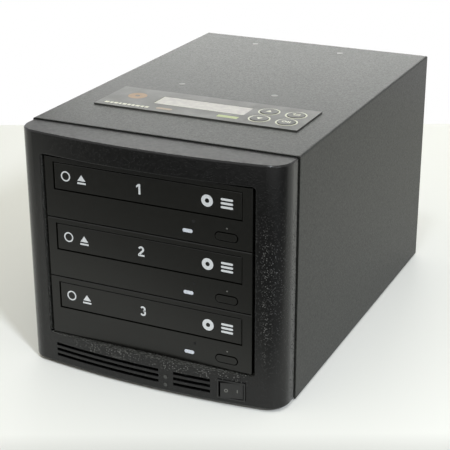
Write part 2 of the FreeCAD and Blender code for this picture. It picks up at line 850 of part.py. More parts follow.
def make_front_bezel():
    """Bowed moulding: a hollow shell with a collar round the drives, slots and snap hooks."""
    low = "pan_z + bezel_lift"
    height = "bezel_top - pan_z - bezel_lift"
    block = new_body("front_bezel_block")
    plan = new_sketch(block, "XY_Plane", low)
    bowed_plan(plan, "0")
    raw = pad(block, plan, height)
    seam = number("seam_y")
    bottom = number(low)
    top = number("bezel_top")
    soften(block, raw, "bezel_edge", lambda edge: not lies_at(edge, "Y", seam)
           and (lies_at(edge, "Z", bottom) or lies_at(edge, "Z", top)), "PartDesign::Chamfer")

    hollow = new_body("front_bezel_hollow")
    plan = new_sketch(hollow, "XY_Plane", f"{low} + bezel_wall")
    bowed_plan(plan, "bezel_wall")
    pad(hollow, plan, f"{height} - 2 * bezel_wall")
    collar = new_sketch(hollow, "XZ_Plane", "front_y - bezel_wall")
    rounded(collar, "-window_half - collar_wall", "window_low - collar_wall",
            "window_half + collar_wall", "window_high + collar_wall",
            "window_corner + collar_wall")
    pocket(hollow, collar, "bezel_depth + 2 * bezel_wall")

    openings = new_body("front_bezel_openings")
    front = new_sketch(openings, "XZ_Plane", "front_y - bezel_wall")
    rounded(front, "-window_half", "window_low", "window_half", "window_high", "window_corner")
    for row in range(3):
        z = f"stack_z - vent_drop - {row} * vent_pitch"
        plate_about(front, "long_vent_x", z, "long_vent_length", "vent_height")
        plate_about(front, "short_vent_x", z, "short_vent_length", "vent_height")
    for row in range(2):
        circle(front, "lamp_x", f"stack_z - lamp_drop - {row} * lamp_pitch", "lamp_radius + fit")
    pad(openings, front, "bezel_depth + 2 * bezel_wall", back=True)

    socket = new_body("front_bezel_switch_hole")
    square = new_sketch(socket, "XZ_Plane", "-bezel_wall")
    plate_about(square, "0", "0", "2 * (switch_body_half + fit)", "2 * (switch_body_rise + fit)")
    pad(socket, square, "3 * bezel_wall", back=True)
    stand(socket, "switch_x", "switch_y", "switch_z", UPRIGHT, "switch_turn")

    shell = cut(cut(block, [hollow]), [openings, socket])
    parts = [shell]
    for level in ("clip_low_z", "clip_high_z"):
        z = f"pan_z + {level} - clip_height / 2"
        inside = "bezel_half - bezel_wall - clip_thick"
        arm = "clip_thick + bezel_wall / 2"
        length = "2 * clip_reach + sheet"
        barb_y = "seam_y + sheet + slip"
        barb = "clip_reach - slip"
        root = "seam_y - clip_reach"
        behind = "clip_thick"
        for side in (1, -1):
            inner_x = inside if side > 0 else "bezel_wall / 2 - bezel_half"
            tip_x = inside if side > 0 else "bezel_wall - bezel_half"
            barb_x = f"{inside} - clip_barb" if side > 0 else "bezel_wall - bezel_half"
            parts.append(box(inner_x, root, z, arm, "clip_reach", "clip_height"))
            parts.append(box(tip_x, root, z, behind, length, "clip_height"))
            parts.append(box(barb_x, barb_y, z, "clip_thick + clip_barb", barb, "clip_height"))
    keep("front_bezel", join(parts))


def make_switch(prefix, x, y, z, turn):
    """Rocker switch: a flanged housing and a rocker tipped to off on its round keel."""
    housing = new_body(prefix + "_housing")
    rim = new_sketch(housing, "XZ_Plane")
    plate_about(rim, "0", "0", "switch_width", "switch_height")
    pad(housing, rim, "switch_flange")
    trunk = new_sketch(housing, "XZ_Plane")
    plate_about(trunk, "0", "0", "2 * switch_body_half", "2 * switch_body_rise")
    pad(housing, trunk, "switch_depth", back=True)
    room = new_sketch(housing, "XZ_Plane", "-2 * switch_flange")
    plate_about(room, "0", "0", "2 * switch_room_half", "2 * switch_room_rise")
    pocket(housing, room, "2 * switch_flange + rocker_pivot + rocker_keel + fit")
    stand(housing, x, y, z, UPRIGHT, turn)
    keep(prefix + "_housing", housing)

    rocker = new_body(prefix + "_rocker")
    plan = new_sketch(rocker, "XY_Plane", "-rocker_half_rise")
    high = "-(rocker_pivot + switch_flange + rocker_rise)"
    low = "-(rocker_pivot + switch_flange)"
    outline(plan, [
        ("-rocker_half", high), ("0", low), ("rocker_half", high),
        ("rocker_half", "-rocker_pivot / 2"), ("-rocker_half", "-rocker_pivot / 2"),
    ])
    pad(rocker, plan, "2 * rocker_half_rise")
    keel = new_sketch(rocker, "XY_Plane", "-rocker_half_rise")
    circle(keel, "0", "0", "rocker_keel")
    pad(rocker, keel, "2 * rocker_half_rise")
    stand(rocker, f"{x} - rocker_pivot * sin({turn})", f"{y} + rocker_pivot * cos({turn})", z,
          UPRIGHT, f"{turn} + rocker_tilt * 1 deg")
    keep(prefix + "_rocker", rocker)


def make_lamps():
    lamps = []
    for row in range(2):
        z = f"stack_z - lamp_drop - {row} * lamp_pitch"
        lamps.append(cylinder("lamp_x", "lamp_y - lamp_proud", z, "lamp_radius", "lamp_length",
                              ALONG_Y, "-90"))
    group("status_leds", lamps)


# Control panel


def make_control_panel():
    """Raised panel on the cover with the display window and the keys."""
    overlay = new_body("control_overlay")
    face = new_sketch(overlay, "XY_Plane", "top_z")
    plate_about(face, "0", "seam_y + overlay_y", "overlay_width", "overlay_length")
    pad(overlay, face, "overlay_thick")
    holes = new_sketch(overlay, "XY_Plane", "top_z + 2 * overlay_thick")
    plate_about(holes, "display_x", "seam_y + display_y", "display_width", "display_length")
    for key in KEYS:
        circle(holes, *key_place(key), "key_radius + key_gap")
    pocket(overlay, holes, "3 * overlay_thick")
    keep("control_overlay", overlay)

    lens = new_body("lcd_lens")
    pane = new_sketch(lens, "XY_Plane", "top_z")
    plate_about(pane, "display_x", "seam_y + display_y", "display_width - 2 * fit",
                "display_length - 2 * fit")
    pad(lens, pane, "lens_thick")
    keep("lcd_lens", lens)

    module = new_body("lcd_module")
    case = new_sketch(module, "XY_Plane", "board_z")
    plate_about(case, "display_x", "seam_y + display_y",
                "display_width + 2 * module_border", "display_length + 2 * module_border")
    pad(module, case, "module_height")
    glass = new_sketch(module, "XY_Plane", "board_z + module_height")
    plate_about(glass, "display_x", "seam_y + display_y",
                "display_width - 2 * lens_ledge", "display_length - 2 * lens_ledge")
    pocket(module, glass, "lens_ledge / 2")
    keep("lcd_module", module)

    for key in KEYS:
        body = new_body(key)
        cap = new_sketch(body, "XY_Plane", "-key_gap")
        circle(cap, "0", "0", "key_radius")
        pad(body, cap, "key_gap + overlay_thick + key_proud")
        flange = new_sketch(body, "XY_Plane", "-key_gap")
        plate_about(flange, "0", "0", "key_flange", "key_flange")
        pad(body, flange, "key_flange_thick", back=True)
        stem = new_sketch(body, "XY_Plane", "-key_gap")
        plate_about(stem, "0", "0", "key_stem", "key_stem")
        pad(body, stem, "sheet + stud_length - tact_height - key_gap - key_travel - slip", back=True)
        x, y = key_place(key)
        keep(key, stand(body, x, y, "top_z"))

    board = new_body("control_board")
    face = new_sketch(board, "XY_Plane", "board_z")
    plate_about(face, "0", "seam_y + overlay_y", "overlay_width - 2 * panel_board_inset",
                "overlay_length - 2 * panel_board_inset")
    pad(board, face, "board_thick", back=True)
    tacts = new_sketch(board, "XY_Plane", "board_z")
    for key in KEYS:
        plate_about(tacts, *key_place(key), "tact_width", "tact_width")
    pad(board, tacts, "tact_height")
    keep("control_board", board)


def make_controller():
    """Copy controller board under the cover, with its plugs, and the studs of both boards."""
    board = new_body("controller_board")
    face = new_sketch(board, "XY_Plane", "board_z")
    plate_about(face, "main_board_x", "main_board_y",
                "main_stud_spread_x + 2 * main_board_edge",
                "main_rear_y - main_front_y + 2 * main_board_edge")
    pad(board, face, "board_thick", back=True)
    chips = new_sketch(board, "XY_Plane", "board_z")
    plate_about(chips, "main_board_x", "main_board_y", "chip_width", "chip_width")
    plate_about(chips, "main_board_x", "main_board_y + chip_width * 1.4",
                "chip_width", "chip_width / 2")
    pad(board, chips, "chip_height")
    headers = new_sketch(board, "XY_Plane", "board_z - board_thick")
    for drive in range(DRIVES):
        plate_about(headers, f"cable_x - {drive} * cable_pitch", "cable_y",
                    "plug_width", "plug_height")
    pad(board, headers, "header_height", back=True)
    keep("controller_board", board)

    group("cover_studs", [prism(x, y, "board_z", "stud_body", "stud_length")
                          for x, y in PANEL_STUDS + MAIN_STUDS])


# Power supply


def make_power_supply():
    """Slotted supply case with its board, mains socket and rocker."""
    outer = box("-psu_width / 2", "psu_front", "floor_z", "psu_width", "psu_depth", "psu_height")
    tools = [box("psu_wall - psu_width / 2", "psu_front + psu_wall", "floor_z + psu_wall",
                 "psu_width - 2 * psu_wall", "psu_depth - 2 * psu_wall",
                 "psu_height - 2 * psu_wall")]
    for column in range(-3, 4):
        x = f"psu_slot_x + {column} * psu_slot_pitch - psu_slot_width / 2"
        z = "psu_mid_z - psu_slot_height / 2"
        for y in ("psu_front - psu_wall", "panel_y - 2 * psu_wall"):
            tools.append(box(x, y, z, "psu_slot_width", "3 * psu_wall", "psu_slot_height"))
    tools.append(box("inlet_x - inlet_width / 2 + inlet_rim - fit", "panel_y - 2 * psu_wall",
                     "inlet_z - inlet_height / 2 + inlet_rim - fit",
                     "inlet_width - 2 * inlet_rim + 2 * fit", "3 * psu_wall",
                     "inlet_height - 2 * inlet_rim + 2 * fit"))
    tools.append(box("inlet_x - switch_body_half - fit", "panel_y - 2 * psu_wall",
                     "psu_switch_z - switch_body_rise - fit", "2 * (switch_body_half + fit)",
                     "3 * psu_wall", "2 * (switch_body_rise + fit)"))
    keep("psu_case", cut(outer, tools))

    floor = "floor_z + psu_wall"
    left = "psu_width / 8 - psu_width / 2"
    front = "psu_front + psu_depth / 8"
    plate = box(left, front, f"{floor} + psu_post", "psu_width * 0.6",
                "psu_depth * 0.7", "board_thick")
    posts = [
        box(f"{left} + {across} * (psu_width * 0.6 - psu_post)",
            f"{front} + {along} * (psu_depth * 0.7 - psu_post)", floor,
            "psu_post", "psu_post", "psu_post")
        for across in (0, 1) for along in (0, 1)
    ]
    deck = f"{floor} + psu_post + board_thick"
    sinks = [
        box(f"{left} + psu_width * {share}", f"{front} + psu_depth * 0.05", deck,
            "psu_slot_width", "psu_depth * 0.6", "psu_height * 0.6")
        for share in (0.05, 0.5)
    ]
    coil = box(f"{left} + psu_width * 0.2", f"{front} + psu_depth * 0.25", deck,
               "psu_width * 0.22", "psu_depth * 0.24", "psu_height * 0.5")
    keep("psu_board", join([plate, coil] + posts + sinks))

    inlet = new_body("ac_inlet")
    rim = new_sketch(inlet, "XZ_Plane")
    rounded(rim, "-inlet_width / 2", "-inlet_height / 2", "inlet_width / 2", "inlet_height / 2",
            "inlet_rim")
    pad(inlet, rim, "inlet_flange")
    trunk = new_sketch(inlet, "XZ_Plane")
    plate_about(trunk, "0", "0", "inlet_width - 2 * inlet_rim", "inlet_height - 2 * inlet_rim")
    pad(inlet, trunk, "inlet_depth", back=True)
    mouth = new_sketch(inlet, "XZ_Plane", "-inlet_flange")
    half, rise, bevel = "socket_width / 2", "socket_height / 2", "socket_chamfer"
    outline(mouth, [
        (f"-{half}", f"-{rise}"), (half, f"-{rise}"), (half, f"{rise} - {bevel}"),
        (f"{half} - {bevel}", rise), (f"{bevel} - {half}", rise), (f"-{half}", f"{rise} - {bevel}"),
    ])
    pocket(inlet, mouth, "socket_depth")
    blades = new_sketch(inlet, "XZ_Plane", "socket_depth - inlet_flange")
    plate_about(blades, "-blade_spread", "-blade_offset", "blade_thick", "blade_width")
    plate_about(blades, "blade_spread", "-blade_offset", "blade_thick", "blade_width")
    plate_about(blades, "0", "blade_offset", "blade_thick", "blade_width")
    pad(inlet, blades, "blade_length")
    keep("ac_inlet", stand(inlet, "inlet_x", "panel_y", "inlet_z", UPRIGHT, "180"))
    make_switch("psu_switch", "inlet_x", "panel_y", "psu_switch_z", "180 deg")


# Exhaust fan


def make_fan():
    """Fan frame with a motor plate on four struts, and a rotor with pitched blades."""
    frame = new_body("exhaust_fan_frame")
    face = new_sketch(frame, "XY_Plane")
    half = "fan_size / 2"
    rectangle(face, f"-{half}", f"-{half}", half, half)
    circle(face, "0", "0", "fan_duct")
    pad(frame, face, "fan_depth", back=True)
    across = new_sketch(frame, "XY_Plane")
    plate_about(across, "0", "0", "fan_size - fan_strut / 2", "fan_strut")
    pad(frame, across, "fan_plate", back=True)
    upright = new_sketch(frame, "XY_Plane")
    plate_about(upright, "0", "0", "fan_strut", "fan_size - fan_strut / 2")
    pad(frame, upright, "fan_plate", back=True)
    motor = new_sketch(frame, "XY_Plane")
    circle(motor, "0", "0", "fan_hub")
    pad(frame, motor, "fan_plate", back=True)
    keep("exhaust_fan_frame", stand(frame, "0", "panel_y", "fan_z", ALONG_Y, "-90"))

    rotor = new_body("exhaust_fan_rotor")
    half = new_sketch(rotor, "XZ_Plane")
    inner = "-(fan_depth - fan_clearance)"
    outer = "-(fan_plate + fan_clearance)"
    outline(half, [
        ("0", inner), ("fan_hub", inner), ("fan_hub", outer), ("0", outer),
    ])
    hub = rotor.newObject("PartDesign::Revolution", "hub_turned")
    hub.Profile = half
    hub.ReferenceAxis = (half, ["V_Axis"])
    middle = "-(fan_depth + fan_plate) / 2"
    section = new_sketch(rotor, "XZ_Plane", "-blade_root")
    run_x = "blade_chord / 2 * cos(blade_pitch)"
    run_z = "blade_chord / 2 * sin(blade_pitch)"
    skin_x = "blade_skin / 2 * sin(blade_pitch)"
    skin_z = "blade_skin / 2 * cos(blade_pitch)"
    outline(section, [
        (f"-({run_x}) - {skin_x}", f"{middle} - {run_z} + {skin_z}"),
        (f"-({run_x}) + {skin_x}", f"{middle} - {run_z} - {skin_z}"),
        (f"{run_x} + {skin_x}", f"{middle} + {run_z} - {skin_z}"),
        (f"{run_x} - {skin_x}", f"{middle} + {run_z} + {skin_z}"),
    ])
    blade = pad(rotor, section, "blade_tip - blade_root")
    doc.recompute()
    ring = rotor.newObject("PartDesign::PolarPattern", "blades")
    ring.Originals = [blade]
    ring.Axis = ([item for item in rotor.Origin.OriginFeatures if item.Role == "Z_Axis"][0], [""])
    ring.Angle = 360
    ring.Occurrences = 7
    rotor.Tip = ring
    keep("exhaust_fan_rotor", stand(rotor, "0", "panel_y", "fan_z", ALONG_Y, "-90"))


# Drives


def make_drive(index):
    """One optical drive: shell, front, tray, button, spindle and pickup sled."""
    name = f"drive_{index + 1}_"
    level = f"stack_z + {index} * drive_pitch"

    shell = new_body(name + "shell")
    section = new_sketch(shell, "XZ_Plane", "drive_bezel_thick")
    rectangle(section, "-drive_width / 2", "shell_rise",
              "drive_width / 2", "shell_rise + drive_height")
    pad(shell, section, "drive_depth - drive_bezel_thick", back=True)
    inside = new_sketch(shell, "XZ_Plane", "drive_bezel_thick")
    rectangle(inside, "drive_wall - drive_width / 2", "deck_z",
              "drive_width / 2 - drive_wall", "shell_rise + drive_height - drive_wall")
    pocket(shell, inside, "drive_depth - drive_bezel_thick - drive_wall")
    keep(name + "shell", stand(shell, "0", "face_y", level))

    bezel = new_body(name + "bezel")
    face = new_sketch(bezel, "XZ_Plane")
    rectangle(face, "-drive_bezel_width / 2", "drive_gap / 2",
              "drive_bezel_width / 2", "drive_pitch - drive_gap / 2")
    plate = pad(bezel, face, "drive_bezel_thick", back=True)
    soften(bezel, plate, "drive_bezel_edge", lambda edge: lies_at(edge, "Y", 0),
           "PartDesign::Chamfer")
    holes = new_sketch(bezel, "XZ_Plane", "-drive_bezel_thick")
    rectangle(holes, "-tray_front_width / 2 - tray_front_gap", "tray_front_rise - tray_front_gap",
              "tray_front_width / 2 + tray_front_gap",
              "tray_front_rise + tray_front_height + tray_front_gap")
    pill(holes, "eject_x", "eject_rise", "eject_width + 2 * eject_slot",
         "eject_height + 2 * eject_slot")
    clipped(holes, "lens_cap_x", "lens_cap_rise", "lens_cap_width + 2 * lens_cap_gap",
            "lens_cap_height + 2 * lens_cap_gap", "lens_cap_corner")
    pocket(bezel, holes, "3 * drive_bezel_thick")
    keep(name + "bezel", stand(bezel, "0", "face_y", level))

    front = new_body(name + "tray_front")
    face = new_sketch(front, "XZ_Plane", "tray_front_recess")
    rectangle(face, "-tray_front_width / 2", "tray_front_rise",
              "tray_front_width / 2", "tray_front_rise + tray_front_height")
    plate = pad(front, face, "drive_bezel_thick - tray_front_recess", back=True)
    recess = number("tray_front_recess")
    soften(front, plate, "tray_front_edge", lambda edge: lies_at(edge, "Y", recess),
           "PartDesign::Chamfer")
    keep(name + "tray_front", stand(front, "0", "face_y", level))

    tray = new_body(name + "tray")
    plan = new_sketch(tray, "XY_Plane", "tray_rise")
    rectangle(plan, "-tray_width / 2", "drive_bezel_thick", "tray_width / 2", "tray_end")
    pad(tray, plan, "tray_thick")
    well = new_sketch(tray, "XY_Plane", "tray_top")
    circle(well, "0", "disc_y", "disc_well")
    pocket(tray, well, "disc_well_depth")
    eye = new_sketch(tray, "XY_Plane", "tray_top")
    circle(eye, "0", "disc_y", "tray_slot")
    pocket(tray, eye, "2 * tray_thick")
    slot = new_sketch(tray, "XY_Plane", "tray_top")
    rectangle(slot, "-tray_slot", "disc_y", "tray_slot", "tray_end + tray_margin")
    pocket(tray, slot, "2 * tray_thick")
    keep(name + "tray", stand(tray, "0", "face_y", level))

    button = new_body(name + "eject_button")
    cap = new_sketch(button, "XZ_Plane", "-eject_proud")
    pill(cap, "eject_x", "eject_rise", "eject_width", "eject_height")
    pad(button, cap, "eject_proud + drive_bezel_thick + eject_gap", back=True)
    flange = new_sketch(button, "XZ_Plane", "drive_bezel_thick + eject_gap")
    plate_about(flange, "eject_x", "eject_rise", "eject_width + 2 * eject_flange",
                "eject_height + 2 * eject_flange")
    pad(button, flange, "eject_flange_thick", back=True)
    keep(name + "eject_button", stand(button, "0", "face_y", level))

    spindle = new_body(name + "spindle")
    table = new_sketch(spindle, "XY_Plane", "table_top - table_thick")
    circle(table, "0", "0", "table_radius")
    pad(spindle, table, "table_thick")
    hub = new_sketch(spindle, "XY_Plane", "table_top")
    outline(hub, [(f"hub_radius * cos({turn})", f"hub_radius * sin({turn})")
                  for turn in range(0, 360, 60)])
    pad(spindle, hub, "hub_height")
    keep(name + "spindle", stand(spindle, "0", "face_y + disc_y", level))

    sled = new_body(name + "pickup")
    block = new_sketch(sled, "XY_Plane", "bar_z - sled_below")
    plate_about(block, "0", "0", "2 * (bar_spread + sled_overhang)", "sled_length")
    pad(sled, block, "sled_below + sled_above")
    ways = new_sketch(sled, "XZ_Plane", "-sled_length")
    for side in (-1, 1):
        plate_about(ways, f"{side} * bar_spread", "bar_z - sled_below / 2",
                    "2 * (bar_half + fit)", "sled_below + 2 * (bar_half + fit)")
    pocket(sled, ways, "2 * sled_length")
    lens = new_sketch(sled, "XY_Plane", "bar_z + sled_above")
    plate_about(lens, "0", "0", "lens_width", "lens_width")
    pad(sled, lens, "lens_height")
    keep(name + "pickup", stand(sled, "0", "face_y + disc_y + lens_start", level))


def make_deck(index):
    """Loader deck: floor, tray rails, spindle motor and the two bars of the pickup."""
    body = new_body("deck")
    section = new_sketch(body, "XZ_Plane", "deck_start")
    out = "drive_width / 2 - drive_wall - deck_gap"
    inn = "tray_width / 2 - rail_grip"
    groove = "tray_width / 2 + rail_gap"
    low = "tray_rise - rail_gap"
    high = "tray_top + rail_gap"
    right = [(out, "deck_z"), (out, f"{high} + rail_lip"), (inn, f"{high} + rail_lip"),
             (inn, high), (groove, high), (groove, low), (inn, low), (inn, "deck_top")]
    left = [(f"-({x})", z) for x, z in reversed(right)]
    outline(section, right + left)
    pad(body, section, "drive_depth - drive_wall - deck_gap - deck_start", back=True)
    motor = new_sketch(body, "XY_Plane", "deck_top")
    plate_about(motor, "0", "disc_y", "motor_width", "motor_width")
    pad(body, motor, "motor_height")
    posts = new_sketch(body, "XY_Plane", "deck_top")
    for side in (-1, 1):
        for along in ("bar_start - post_thick / 2", "bar_start + bar_length + post_thick / 2"):
            plate_about(posts, f"{side} * bar_spread", f"disc_y + {along}",
                        "post_width", "post_thick")
    pad(body, posts, "bar_height + 2 * bar_half")
    bars = new_sketch(body, "XZ_Plane", "disc_y + bar_start - post_thick / 2")
    for side in (-1, 1):
        plate_about(bars, f"{side} * bar_spread", "bar_z", "2 * bar_half", "2 * bar_half")
    pad(body, bars, "bar_length + post_thick", back=True)
    return stand(body, "0", "face_y", f"stack_z + {index} * drive_pitch")


def make_lens_caps():
    caps = []
    for index in range(DRIVES):
        cap = new_body(f"drive_{index + 1}_led_window")
        face = new_sketch(cap, "XZ_Plane", "-lens_cap_proud")
        clipped(face, "lens_cap_x", "lens_cap_rise", "lens_cap_width", "lens_cap_height",
                "lens_cap_corner")
        pad(cap, face, "lens_cap_proud + drive_bezel_thick", back=True)
        caps.append(stand(cap, "0", "face_y", f"stack_z + {index} * drive_pitch"))
    group("drive_led_windows", caps)


# Wiring


def bent_strip(sketch, start, level, bend_y, end):
    """Flat cable seen from the side: level run, quarter bend and upright run."""
    thin = "cable_thick / 2"
    turn_z = f"{level} + cable_bend"
    turn_y = f"{bend_y} - cable_bend"
    low = line(sketch, start, f"{level} - {thin}", turn_y, f"{level} - {thin}")
    wide = arc(sketch, turn_y, turn_z, f"cable_bend + {thin}", 3, 4)
    far = line(sketch, f"{bend_y} + {thin}", turn_z, f"{bend_y} + {thin}", end)
    tip = line(sketch, f"{bend_y} + {thin}", end, f"{bend_y} - {thin}", end)
    near = line(sketch, f"{bend_y} - {thin}", end, f"{bend_y} - {thin}", turn_z)
    tight = sketch.addGeometry(Part.ArcOfCircle(
        Part.Circle(spot(turn_y, turn_z), FreeCAD.Vector(0, 0, 1),
                    number(f"cable_bend - {thin}")), 4.71238898038469, 6.283185307179586))
    high = line(sketch, turn_y, f"{level} + {thin}", start, f"{level} + {thin}")
    tail = line(sketch, start, f"{level} + {thin}", start, f"{level} - {thin}")
    tangent(sketch, low, 2, wide, 1)
    tangent(sketch, wide, 2, far, 1)
    tangent(sketch, near, 2, tight, 2)
    tangent(sketch, tight, 1, high, 1)
    for one, other in ((far, tip), (tip, near), (high, tail), (tail, low)):
        sketch.addConstraint(Sketcher.Constraint("Coincident", one, 2, other, 1))
    for item in (low, high, tip):
        sketch.addConstraint(Sketcher.Constraint("Horizontal", item))
    for item in (far, near, tail):
        sketch.addConstraint(Sketcher.Constraint("Vertical", item))
    sketch.addConstraint(Sketcher.Constraint("Coincident", wide, 3, tight, 3))
    fix(sketch, "Radius", (wide,), f"cable_bend + {thin}")
    fix(sketch, "Radius", (tight,), f"cable_bend - {thin}")
    fix(sketch, "DistanceY", (low, 1), f"{level} - {thin}")
    fix(sketch, "DistanceY", (tip, 1), end)
    fix(sketch, "DistanceX", (tail, 1), start)
    fix(sketch, "DistanceX", (far, 1), f"{bend_y} + {thin}")


def make_wiring():
    """Data cables from each drive to the controller, and the supply's harness."""
    cables = []
    for index in range(DRIVES):
        x = f"cable_x - {index} * cable_pitch"
        level = f"stack_z + {index} * drive_pitch + plug_rise"
        body = new_body("data_cable")
        plug = new_sketch(body, "XZ_Plane", "drive_rear")
        plate_about(plug, x, level, "plug_width", "plug_height")
        pad(body, plug, "plug_length", back=True)
        strip = new_sketch(body, "YZ_Plane", f"{x} - cable_width / 2")
        bent_strip(strip, "drive_rear + plug_length / 2", level, "cable_y", "header_z")
        pad(body, strip, "cable_width")
        cables.append(body)
    group("data_cables", cables)

    left = "harness_x - harness_width / 2"
    rail_y = "drive_rear + harness_reach - cable_thick"
    low = "stack_z + plug_rise - plug_height / 2"
    run = box(left, rail_y, low, "harness_width", "cable_thick",
              f"{DRIVES - 1} * drive_pitch + plug_height")
    parts = [run]
    for index in range(DRIVES):
        parts.append(box(left, "drive_rear", f"{low} + {index} * drive_pitch",
                         "harness_width", "harness_reach - cable_thick / 2", "plug_height"))
    parts.append(box(left, rail_y, "floor_z + harness_rise", "harness_width",
                     f"psu_front - ({rail_y})", "cable_thick"))
    keep("power_harness", join(parts))


make_cover()
make_pan()
make_front_frame()
make_rear_panel()
make_brackets()
make_feet()
make_screws()
make_front_bezel()
make_switch("power_switch", "switch_x", "switch_y", "switch_z", "switch_turn")
make_lamps()
make_control_panel()
make_controller()
make_power_supply()
make_fan()
for number_in_stack in range(DRIVES):
    make_drive(number_in_stack)
decks = [make_deck(number_in_stack) for number_in_stack in range(DRIVES)]
group("drive_decks", decks)
make_lens_caps()
make_wiring()
doc.recompute()

for item in doc.Objects:
    if "Invalid" in item.State or "Error" in item.State:
        raise RuntimeError(f"{item.Label} did not build: {item.State}")
os.makedirs("parts", exist_ok=True)
for label, piece in PIECES.items():
    if piece.Shape.isNull() or not piece.Shape.isValid():
        raise RuntimeError(f"{label} has no sound shape")
    piece.Shape.exportStep(f"parts/{label}.step")
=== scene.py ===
import math

import bmesh
import bpy
from mathutils import Matrix, Vector


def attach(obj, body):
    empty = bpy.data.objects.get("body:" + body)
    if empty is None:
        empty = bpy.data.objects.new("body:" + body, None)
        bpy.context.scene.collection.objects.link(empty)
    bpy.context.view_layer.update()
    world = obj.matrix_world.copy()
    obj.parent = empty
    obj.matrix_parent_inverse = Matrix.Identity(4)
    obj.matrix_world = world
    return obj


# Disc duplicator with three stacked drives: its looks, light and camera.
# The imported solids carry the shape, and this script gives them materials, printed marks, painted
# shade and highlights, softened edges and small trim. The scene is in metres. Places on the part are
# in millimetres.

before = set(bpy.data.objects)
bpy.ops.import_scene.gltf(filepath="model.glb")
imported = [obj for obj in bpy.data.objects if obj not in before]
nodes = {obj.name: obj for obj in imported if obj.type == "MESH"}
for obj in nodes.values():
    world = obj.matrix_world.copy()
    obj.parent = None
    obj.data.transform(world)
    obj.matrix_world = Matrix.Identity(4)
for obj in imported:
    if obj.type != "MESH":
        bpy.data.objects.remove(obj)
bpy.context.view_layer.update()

MM = 0.001
DRIVES = (1, 2, 3)
DRIVE_LEVELS = {1: 25.2, 2: 67.9, 3: 110.6}
SEAM_Y = -121.0
FACE_Y = -142.8
TRAY_RECESS = 0.3
TOP_Z = 169.5
BEZEL_TOP = 168.7
WINDOW_LOW = 24.3
WINDOW_HALF = 76.7
OVERLAY_Z = 170.3
KEY_Z = 170.7
LENS_Z = 170.2
SOCKET_X = 34.0
SOCKET_Z = 44.5
SOCKET_FLOOR = 130.0
BLADES_REACH_X = 8.6
BLADES_REACH_Z = 4.1
INK = 0.02

# How close a face's middle lies to a named plane, and how far ramps along an axis reach either way.
NEAR = 1.0
RAMP_REACH = 200.0


# Materials


class Look:
    """A material with a Principled surface and textures in the part's own metres."""

    def __init__(self, name, colour, roughness, **sockets):
        self.material = bpy.data.materials.new(name)
        self.material.use_nodes = True
        self.tree = self.material.node_tree
        self.surface = self.tree.nodes["Principled BSDF"]
        self.set("Base Color", (*colour, 1.0))
        self.set("Roughness", roughness)
        for socket, value in sockets.items():
            self.set(socket.replace("_", " "), value)
        self.place = self.tree.nodes.new("ShaderNodeTexCoord").outputs["Object"]
        self.normal = None

    def round_edges(self, radius):
        """Let hard edges catch light as if they were rounded; comes before any relief."""
        node = self.tree.nodes.new("ShaderNodeBevel")
        node.inputs["Radius"].default_value = radius
        self.normal = node.outputs["Normal"]
        self.link(self.normal, self.surface.inputs["Normal"])

    def set(self, socket, value):
        self.surface.inputs[socket].default_value = value

    def link(self, output, socket):
        self.tree.links.new(output, socket)

    def noise(self, scale, detail=2.0, roughness=0.5, stretch=None):
        texture = self.tree.nodes.new("ShaderNodeTexNoise")
        texture.inputs["Scale"].default_value = scale
        texture.inputs["Detail"].default_value = detail
        texture.inputs["Roughness"].default_value = roughness
        self.link(self.spread(stretch), texture.inputs["Vector"])
        return texture.outputs["Fac"]

    def cells(self, scale, output="Distance"):
        texture = self.tree.nodes.new("ShaderNodeTexVoronoi")
        texture.inputs["Scale"].default_value = scale
        self.link(self.place, texture.inputs["Vector"])
        return texture.outputs[output]

    def along(self, axis, stops):
        """Grey ramp along one axis of the part, with its stops in millimetres."""
        parts = self.tree.nodes.new("ShaderNodeSeparateXYZ")
        self.link(self.place, parts.inputs["Vector"])
        share = self.tree.nodes.new("ShaderNodeMapRange")
        share.inputs["From Min"].default_value = -RAMP_REACH * MM
        share.inputs["From Max"].default_value = RAMP_REACH * MM
        self.link(parts.outputs[axis], share.inputs["Value"])
        shares = [(0.5 + spot / (2 * RAMP_REACH), grey) for spot, grey in stops]
        return self.ramp(share.outputs["Result"], shares)

    def combine(self, operation, first, second):
        """One value made of two."""
        node = self.tree.nodes.new("ShaderNodeMath")
        node.operation = operation
        self.link(first, node.inputs[0])
        self.link(second, node.inputs[1])
        return node.outputs["Value"]

    def spread(self, stretch):
        """Object coordinates, stretched along one axis where a finish has a direction."""
        if not stretch:
            return self.place
        mapping = self.tree.nodes.new("ShaderNodeMapping")
        mapping.inputs["Scale"].default_value = stretch
        self.link(self.place, mapping.inputs["Vector"])
        return mapping.outputs["Vector"]

    def ramp(self, value, stops):
        """Colours or greys placed along a texture's value."""
        node = self.tree.nodes.new("ShaderNodeValToRGB")
        while len(node.color_ramp.elements) < len(stops):
            node.color_ramp.elements.new(0.5)
        for element, (position, colour) in zip(node.color_ramp.elements, stops):
            element.position = position
            element.color = (*colour, 1.0) if isinstance(colour, tuple) else (colour,) * 3 + (1.0,)
        self.link(value, node.inputs["Fac"])
        return node.outputs["Color"]

    def tint(self, value, stops):
        self.link(self.ramp(value, stops), self.surface.inputs["Base Color"])

    def gloss(self, value, stops):
        self.link(self.ramp(value, stops), self.surface.inputs["Roughness"])

    def bump(self, value, distance, strength=1.0):
        """Relief of a given depth, laid over any relief before it."""
        node = self.tree.nodes.new("ShaderNodeBump")
        node.inputs["Distance"].default_value = distance
        node.inputs["Strength"].default_value = strength
        self.link(value, node.inputs["Height"])
        if self.normal:
            self.link(self.normal, node.inputs["Normal"])
        self.normal = node.outputs["Normal"]
        self.link(self.normal, self.surface.inputs["Normal"])


